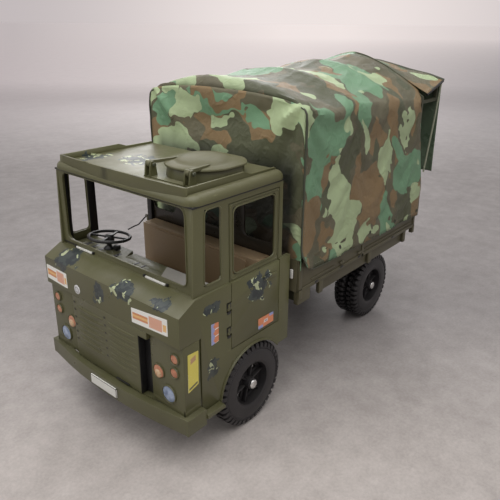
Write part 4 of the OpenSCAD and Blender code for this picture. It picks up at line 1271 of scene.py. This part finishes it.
def hoopSag(x):
    hoops = canvas["hoops"]
    for a, b in zip(hoops, hoops[1:]):
        if b <= x <= a:
            return math.sin(math.pi * (a - x) / (a - b)) ** 2
    return 0.0


def soft(x, y, z, scale, seed):
    return noise.noise(Vector((x, y, z)) * scale + Vector((seed, seed * 1.7, seed * 0.3)))


def clothPush(p, over):  # how far the cloth stands off its plain shape, along its own normal
    x, y, z = p
    push = 0.9 * soft(x, y, z, 0.028, 2.0) + 0.5 * soft(x, y, z, 0.07, 5.0)
    crease = 1 - abs(soft(x, y * 0.7, z, 0.021, 9.0)) * 3.2
    push += 0.9 * max(0.0, crease) ** 3
    if over:                                                    # the roof between two hoops
        push -= 3.6 * hoopSag(x) * (1 - (abs(y) / 140) ** 4)
        push += 1.1 * soft(x * 1.6, y * 0.35, 0, 0.03, 4.0)
    else:                                                       # the sides hang in soft upright folds
        low = max(0.0, min(1.0, (340 - z) / 150))
        push += 2.6 * low * soft(x * 1.5, y * 0.1, z * 0.22, 0.02, 11.0 + (y > 0) * 3)
        push += 1.3 * soft(x * 1.8, 0, z * 0.5, 0.024, 6.0 + (y > 0) * 5)
        hem = max(0.0, 1 - (z - canvas["low"]) / 30)
        push += 2.4 * hem * soft(x * 2.4, 0, 0, 0.02, 8.0 + (y > 0))
    for side in (1, -1):                                        # pulls that fan out from the front top corners
        dx, dz = canvas["front"] - x, 372 - z
        if y * side > 60:
            reach = math.hypot(dx, dz) + 0.4 * abs(abs(y) - 130)
            fan = math.atan2(dz, dx + 0.01)
            push += 2.4 * math.exp(-reach / 75) * math.sin(fan * 9 + 0.6) * min(1, reach / 14)
    return push


def clothPiece(name, rows, over, uvOrigin=(0, 0), pushed=clothPush):
    shape = bmesh.new()
    grid = [[shape.verts.new(p) for p in row] for row in rows]
    uv = shape.loops.layers.uv.new("cloth")
    across = [0.0]
    middle = rows[len(rows) // 2]
    for a, b in zip(middle, middle[1:]):
        across.append(across[-1] + (Vector(b) - Vector(a)).length)
    along = [0.0]
    for a, b in zip(rows, rows[1:]):
        along.append(along[-1] + (Vector(b[len(b) // 2]) - Vector(a[len(a) // 2])).length)
    for i in range(len(rows) - 1):
        for k in range(len(rows[0]) - 1):
            face = shape.faces.new((grid[i][k], grid[i + 1][k], grid[i + 1][k + 1], grid[i][k + 1]))
            for loop, (a, b) in zip(face.loops, ((i, k), (i + 1, k), (i + 1, k + 1), (i, k + 1))):
                loop[uv].uv = ((uvOrigin[0] + across[b]) * mm, (uvOrigin[1] + along[a]) * mm)
    shape.normal_update()
    if pushed:
        moves = [(v, v.normal * pushed(v.co, over(v.co))) for v in shape.verts]
        for v, move in moves:
            v.co += move
    made = fromShape(name, shape, True, False)
    made.data.shade_smooth()
    return made, across[-1], along[-1]


drape = {"quality": 6, "mass": 0.25, "tension_stiffness": 40, "compression_stiffness": 12, "shear_stiffness": 12,
         "bending_stiffness": 0.35, "vertex_group_mass": "pins", "pin_stiffness": 3.0}


def hungCloth(made, held, frames=16, stretch=-0.018, limit=7.0):  # gravity and a little spare cloth make the folds
    before = [v.co.copy() for v in made.data.vertices]
    pins = made.vertex_groups.new(name="pins")
    for v in made.data.vertices:
        pins.add([v.index], max(0.0, min(1.0, held((v.co.x - axleX) / mm, v.co.y / mm, v.co.z / mm))), "REPLACE")
    cloth = made.modifiers.new("drape", "CLOTH")
    for key, value in drape.items():
        setattr(cloth.settings, key, value)
    cloth.settings.shrink_min = stretch
    cloth.collision_settings.use_collision = False
    cloth.point_cache.frame_start = 1
    cloth.point_cache.frame_end = frames
    for i in range(1, frames + 1):
        bpy.context.scene.frame_set(i)
    settled(made)
    bpy.context.scene.frame_set(1)
    for v, start in zip(made.data.vertices, before):  # no point moves further than the limit
        move = v.co - start
        v.co = start + move * (limit * mm / (limit * mm + move.length))
    made.vertex_groups.clear()


def thickened(made, thick, offset=-1.0):
    wall = made.modifiers.new("wall", "SOLIDIFY")
    for key, value in {"thickness": thick * mm, "offset": offset, "use_even_offset": True, "use_rim": True}.items():
        setattr(wall, key, value)
    return settled(made)


def sheetMade(made, width, length, thick, offset, finish, node=None):
    area = sum(face.area for face in made.data.polygons)
    grown = math.sqrt(max(1.0, area / (width * length * mm * mm * 0.998)))  # folds use more cloth than the plain grid
    thickened(made, thick, offset)
    closed(made, truck, finish, [node] if node else ())


def makeCover():
    front, along = canvas["front"], canvas["along"] - 1
    rows = []
    for i in range(canvas["along"]):
        v = i / along
        line = section(front + (canvas["hoopRear"] - front) * v, canvas["low"] + 2 - 5 * v)
        rows.append([(front + (sideRear(z) - front) * v, y, z) for y, z in line])
    for row in rows:  # the loose front corner curls out at the hem
        for k, (x, y, z) in enumerate(row):
            out = max(0.0, 1 - (z - 172) / 34) * max(0.0, 1 - (front - x) / 34)
            if out > 0:
                row[k] = (x - 3 * out, y + math.copysign(10 * out ** 1.3, y), z + 14 * out ** 1.2)
    made, width, length = clothPiece("canvasCover", rows, lambda p: p.z > 352 and abs(p.y) < 127)

    def held(x, y, z):  # tight on the hoops, at the front edge, at the rear edge and a little at the hem
        grip = max(math.exp(-((x - h) / 5) ** 2) for h in canvas["hoops"])
        grip = max(grip if z > 250 or x > -100 else grip * 0.4, math.exp(-((x - front) / 6) ** 2),
                   min(1.0, max(0.0, (-366 - x) / 14)))
        if z < 190:
            grip = max(grip, 0.35)
        return 0.06 + 0.94 * grip

    hungCloth(made, held)
    sheetMade(made, width, length, canvas["thick"], -1.0, canvasFinish, "canopy_cover")
    return made


cover = makeCover()


def makeFrontPanel():
    front, half = canvas["front"], canvas["half"] - 1.2
    rows = []
    for i in range(60):
        t = i / 59
        row = []
        for k in range(canvas["columns"]):
            y = half - 2 * half * k / (canvas["columns"] - 1)
            top = roofHeight(front, y) + 0.5
            corner = max(0.0, abs(y) - (half - 9))
            top -= 9 - math.sqrt(max(0.0, 81 - corner * corner)) if corner else 0
            row.append((front + 0.9 - 3.0 * t, y, top + (180 - top) * t))
        rows.append(row)

    def push(p, over):
        x, y, z = p
        rim = max(0.0, min(1.0, (half - abs(y)) / 22, (roofHeight(front, y) - z) / 16))
        value = 3.6 * soft(0, y, z, 0.014, 3.0) + 2.0 * soft(0, y * 0.6, z * 1.4, 0.03, 7.0)
        for side in (1, -1):
            dy, dz = half - y * side, 388 - z
            fan = math.atan2(dz, dy + 0.01)
            reach = math.hypot(dy, dz)
            value += 5.6 * math.exp(-reach / 95) * math.sin(fan * 7.5 - 0.8) * min(1, reach / 18) * 1.3
        sagLine = z - (352 - 0.2 * abs(y) + 8 * math.sin(y / 50))
        value += 3.0 * math.exp(-(sagLine / 16) ** 2)
        return value * rim

    made, width, length = clothPiece("canvasFront", rows, lambda p: False, (180, 420), push)

    def held(x, y, z):
        edge = max(math.exp(-((half - abs(y)) / 6) ** 2), 1.0 if z > roofHeight(front, y) - 8 else 0.0)
        return 0.05 + 0.95 * edge

    hungCloth(made, held, 14, -0.02, 6.0)
    sheetMade(made, width, length, canvas["thick"], 1.0, panelFinish)


makeFrontPanel()


def flapHeight(y):
    return heightTable([(0, 407), (19, 405.5), (37, 402), (56, 398), (74, 394), (108, 388.5), (132, 382)], abs(y))


def makeFlap():
    half, start = canvas["half"], -391
    rows = []
    for i in range(20):
        v = i / 19
        row = []
        for k in range(canvas["columns"]):
            y = half - 2 * half * k / (canvas["columns"] - 1)
            front = roofHeight(canvas["hoopRear"], y) + 1.2 + 6 * (abs(y) / 132) ** 6
            x = start + (canvas["flapRear"] + 391) * v
            z = front + (flapHeight(y) - front) * v - 3.0 * math.sin(math.pi * v) * (1 - (abs(y) / 140) ** 2)
            row.append((x, y, z))
        rows.append(row)

    def push(p, over):
        x, y, z = p
        loose = min(1, (start - x) / 20 if x < start else 0)
        return 0.8 * soft(x, y, z, 0.03, 4.0) + 1.5 * soft(x * 0.4, y * 1.4, 0, 0.022, 6.0) * loose

    made, width, length = clothPiece("canvasFlap", rows, lambda p: True, (200, 330), push)
    sheetMade(made, width, length, 0.9, -1.0, canvasFinish)


makeFlap()


def makeCurtain():
    columns, half = 96, 129.5
    rows = []
    for i in range(56):
        t = i / 55
        row = []
        for k in range(columns):
            y = half - 2 * half * k / (columns - 1)
            top = flapHeight(y) - 1.5
            z = top + (234 - top) * t
            depth = 0.25 + 0.75 * t
            fold = 3.8 * math.sin(y / 10.4 + 0.8 * math.sin(y / 23)) + 1.6 * soft(0, y, z * 0.3, 0.03, 12.0) * 2
            row.append((canvas["flapRear"] + 1.2 + fold * depth * 0.62, y, z))
        rows.append(row)
    made, width, length = clothPiece("canvasCurtain", rows, lambda p: False, (40, 520), None)
    sheetMade(made, width, length, canvas["thick"], 0.0, curtainFinish, "rear_curtain")


makeCurtain()


def onCover(x, y, z, lift=0.5):
    spot = Vector(((axleX + x * mm), y * mm, z * mm))
    _, place, normal, _ = cover.closest_point_on_mesh(spot)
    outward = 1 if normal.dot(Vector((0, y, z - 300)).normalized()) > 0 else -1
    place = place + normal * outward * lift * mm
    return ((place.x - axleX) / mm, place.y / mm, place.z / mm)


def makeCanvasTrim():
    piping, under, strap = bmesh.new(), bmesh.new(), bmesh.new()
    line = section(canvas["front"], canvas["low"] + 12)
    for side in (1, -1):
        path = [onCover(canvas["front"] + 0.4, y, z, 0.1) for y, z in line if y * side > 118]
        tube(piping, path, 1.3, 8)
    rearLine = [(canvas["flapRear"] - 0.2, y, flapHeight(y) - 0.8) for y in (132 - 264 * k / 80 for k in range(81))]
    tube(piping, rearLine, 1.9, 8)
    for side in (1, -1):
        hem = [onCover(-84 - 322 * k / 60, side * 132, canvas["low"] + 1.5 - 4.5 * k / 60, 0.1) for k in range(61)]
        tube(piping, hem, 0.8, 6)
        # a black tube under each side edge of the rear flap: painted shadow beneath the flap
        tube(under, [(-391, side * 130.8, 363.5), (-420, side * 131, 371.5), (-446, side * 131, 379.5)], 2.0, 8)
        tube(strap, [(-441, side * 131, 378), (-429, side * 131.3, 318), (-411, side * 131.3, 240)], 1.5, 8)
    piece("canvasPiping", piping, pipingFinish)
    piece("flapShadowTubes", under, blackPlastic)
    piece("rearStraps", strap, strapFinish)
    rings = bmesh.new()
    holes = bmesh.new()
    for side in (1, -1):
        for x, z in ((-84, 195), (-165, 186), (-244, 184), (-322, 180), (-398, 178)):
            a = Vector(onCover(x, side * 133, z, 0.15))
            b = Vector(onCover(x, side * 133, z, 0.9))
            outward = (b - a).normalized()
            where = Matrix.Translation(a) @ outward.to_track_quat("Z", "Y").to_matrix().to_4x4()
            added(rings, turnedShape([(1.5, 0), (2.9, 0), (2.9, 0.35), (2.3, 0.7), (1.7, 0.5)], 24), where)
            added(holes, turnedShape([(0, 0.16), (1.5, 0.16), (1.5, 0), (0, 0)], 20, False), where)
    piece("eyeletRings", rings, darkPlastic)
    piece("eyeletHoles", holes, blackPlastic)
    runs = []
    for side in (1, -1):
        runs.append([onCover(canvas["front"] - 4.5, side * 132, 196 + 160 * k / 50, 0.25) for k in range(51)])
        runs.append([onCover(-90 - 306 * k / 90, side * 132, 180 - 4 * k / 90, 0.25) for k in range(91)])
    lines = []
    for k, run in enumerate(runs):
        mesh = bpy.data.meshes.new("run")
        mesh.from_pydata([intoFrame @ Vector(p) for p in run], [(i, i + 1) for i in range(len(run) - 1)], [])
        lines.append(repeated(blankObject("run", mesh), "stitch", Pitch=0.0042, Thread=(0.0004, 0.0004, 0.0024),
                              Finish=threadFinish))
    closed(merged("canvasStitches", lines), truck, threadFinish)


makeCanvasTrim()
print("canvas made")


# floor and lamps
stage = {"reach": 60.0, "glow": 0.43, "aim": (0, 0, 0.15),
         "lamps": (("topLamp", 26.5, 2.0, (0.3, 0.3, 1.7)), ("backLamp", 24.0, 1.5, (-1.64, -1.46, 1.3)),
                   ("sideLamp", 2.0, 0.8, (1.0, -0.6, 0.8)))}


def makeStage():
    f = Finish("floorFinish")
    where = f.place()
    reach = f.vector("LENGTH", where, out="Value")
    mottle = f.cloud(34, 4, 0.62) * 0.6 + f.cloud(9, 3, 0.5) * 0.4
    fromCamera = f.moved(where, (-0.6, -0.49, 0))
    ahead = f.vector("DOT_PRODUCT", fromCamera, (-0.764, -0.645, 0), "Value")
    aside = f.vector("DOT_PRODUCT", fromCamera, (-0.645, 0.764, 0), "Value")
    grit = f.ramp(f.cloud(260, 3, 0.7), 0.3, 0.7)
    mottle = mottle * 0.8 + f.cloud(75, 4, 0.65) * 0.12 + grit * 0.16 - 0.05
    # painted light and shade on the floor: lightest near the truck, darker further ahead of the camera and to the
    # sides, lighter again far off
    near = f.mix(f.ramp(mottle, 0.36, 0.66), (0.405, 0.362, 0.338), (0.56, 0.505, 0.475))
    middle = f.mix(f.ramp(mottle, 0.36, 0.66), (0.215, 0.196, 0.192), (0.3, 0.275, 0.27))
    near = f.mix(f.ramp(ahead, 0.5, 0.86), near, middle)
    near = f.mix(f.ramp(aside.size(), 0.06, 0.4) * 0.35, near, middle)
    far = f.mix(f.ramp(mottle, 0.3, 0.7), (0.34, 0.315, 0.315), (0.43, 0.4, 0.4))
    # the far floor glows though it is no lamp: painted light, brightest straight ahead of the camera and darker to
    # the sides
    lean = aside / ahead.highest(0.3)
    paintedFarGlow = f.mix(f.ramp(lean, -0.45, -0.12), (0.3, 0.262, 0.268), (0.49, 0.437, 0.432))
    paintedFarGlow = f.mix(f.ramp(lean, 0.08, 0.42), paintedFarGlow, (0.19, 0.176, 0.18))
    glow = f.mix(f.ramp(ahead, 1.7, 4.5), (0, 0, 0), paintedFarGlow)
    horizon = f.mix(f.ramp((lean - 0.1).size(), 0.05, 0.5), (0.68, 0.61, 0.59), (0.32, 0.285, 0.29))
    glow = f.mix(f.ramp(ahead, 4.0, 16.0), glow, horizon)
    colour = f.mix(f.ramp(reach, 1.2, 2.6), near, far)
    finish = f.close(Base_Color=colour, Emission_Color=glow, Emission_Strength=1.0, Roughness=0.75,
                     Normal=f.bump(f.cloud(120, 4), 0.12, 0.002))
    floor = bmesh.new()
    bmesh.ops.create_circle(floor, cap_ends=True, segments=96, radius=stage["reach"])
    made = blankObject("floor", meshOf("floor", floor))
    made.data.materials.append(finish)


def makeBackdrop():  # soft light from all round; the camera itself sees a wall that fades sideways
    world = bpy.data.worlds.new("world")
    bpy.context.scene.world = world
    f = Finish("world", world)
    glow = stage["glow"]
    sideways = f.vector("DOT_PRODUCT", f.place("Generated"), (-0.645, 0.764, 0), "Value")
    fade = f.node("ShaderNodeMapRange", {"interpolation_type": "SMOOTHSTEP"},
                  {0: (sideways - 0.1).size(), 1: 0.05, 2: 0.5})
    seen = f.mix(fade, (0.86, 0.78, 0.76), (0.54, 0.49, 0.495))
    glossy = f.node("ShaderNodeLightPath", None, None, "Is Glossy Ray")
    lit = f.mix(glossy, (glow, glow * 0.985, glow * 0.98), (0.46, 0.425, 0.42))
    shown = f.mix(f.node("ShaderNodeLightPath", None, None, "Is Camera Ray"), lit, seen)
    f.node("ShaderNodeOutputWorld", None, {0: f.node("ShaderNodeBackground", None, {0: shown})})


def makeLights():
    for name, power, size, spot in stage["lamps"]:
        data = bpy.data.lights.new(name, "AREA")
        data.energy = power
        data.size = size
        lamp = bpy.data.objects.new(name, data)
        bpy.context.scene.collection.objects.link(lamp)
        lamp.location = spot
        lamp.rotation_euler = (Vector(stage["aim"]) - Vector(spot)).to_track_quat("-Z", "Y").to_euler()


makeStage()
makeBackdrop()
makeLights()
print("stage made")

print("done")
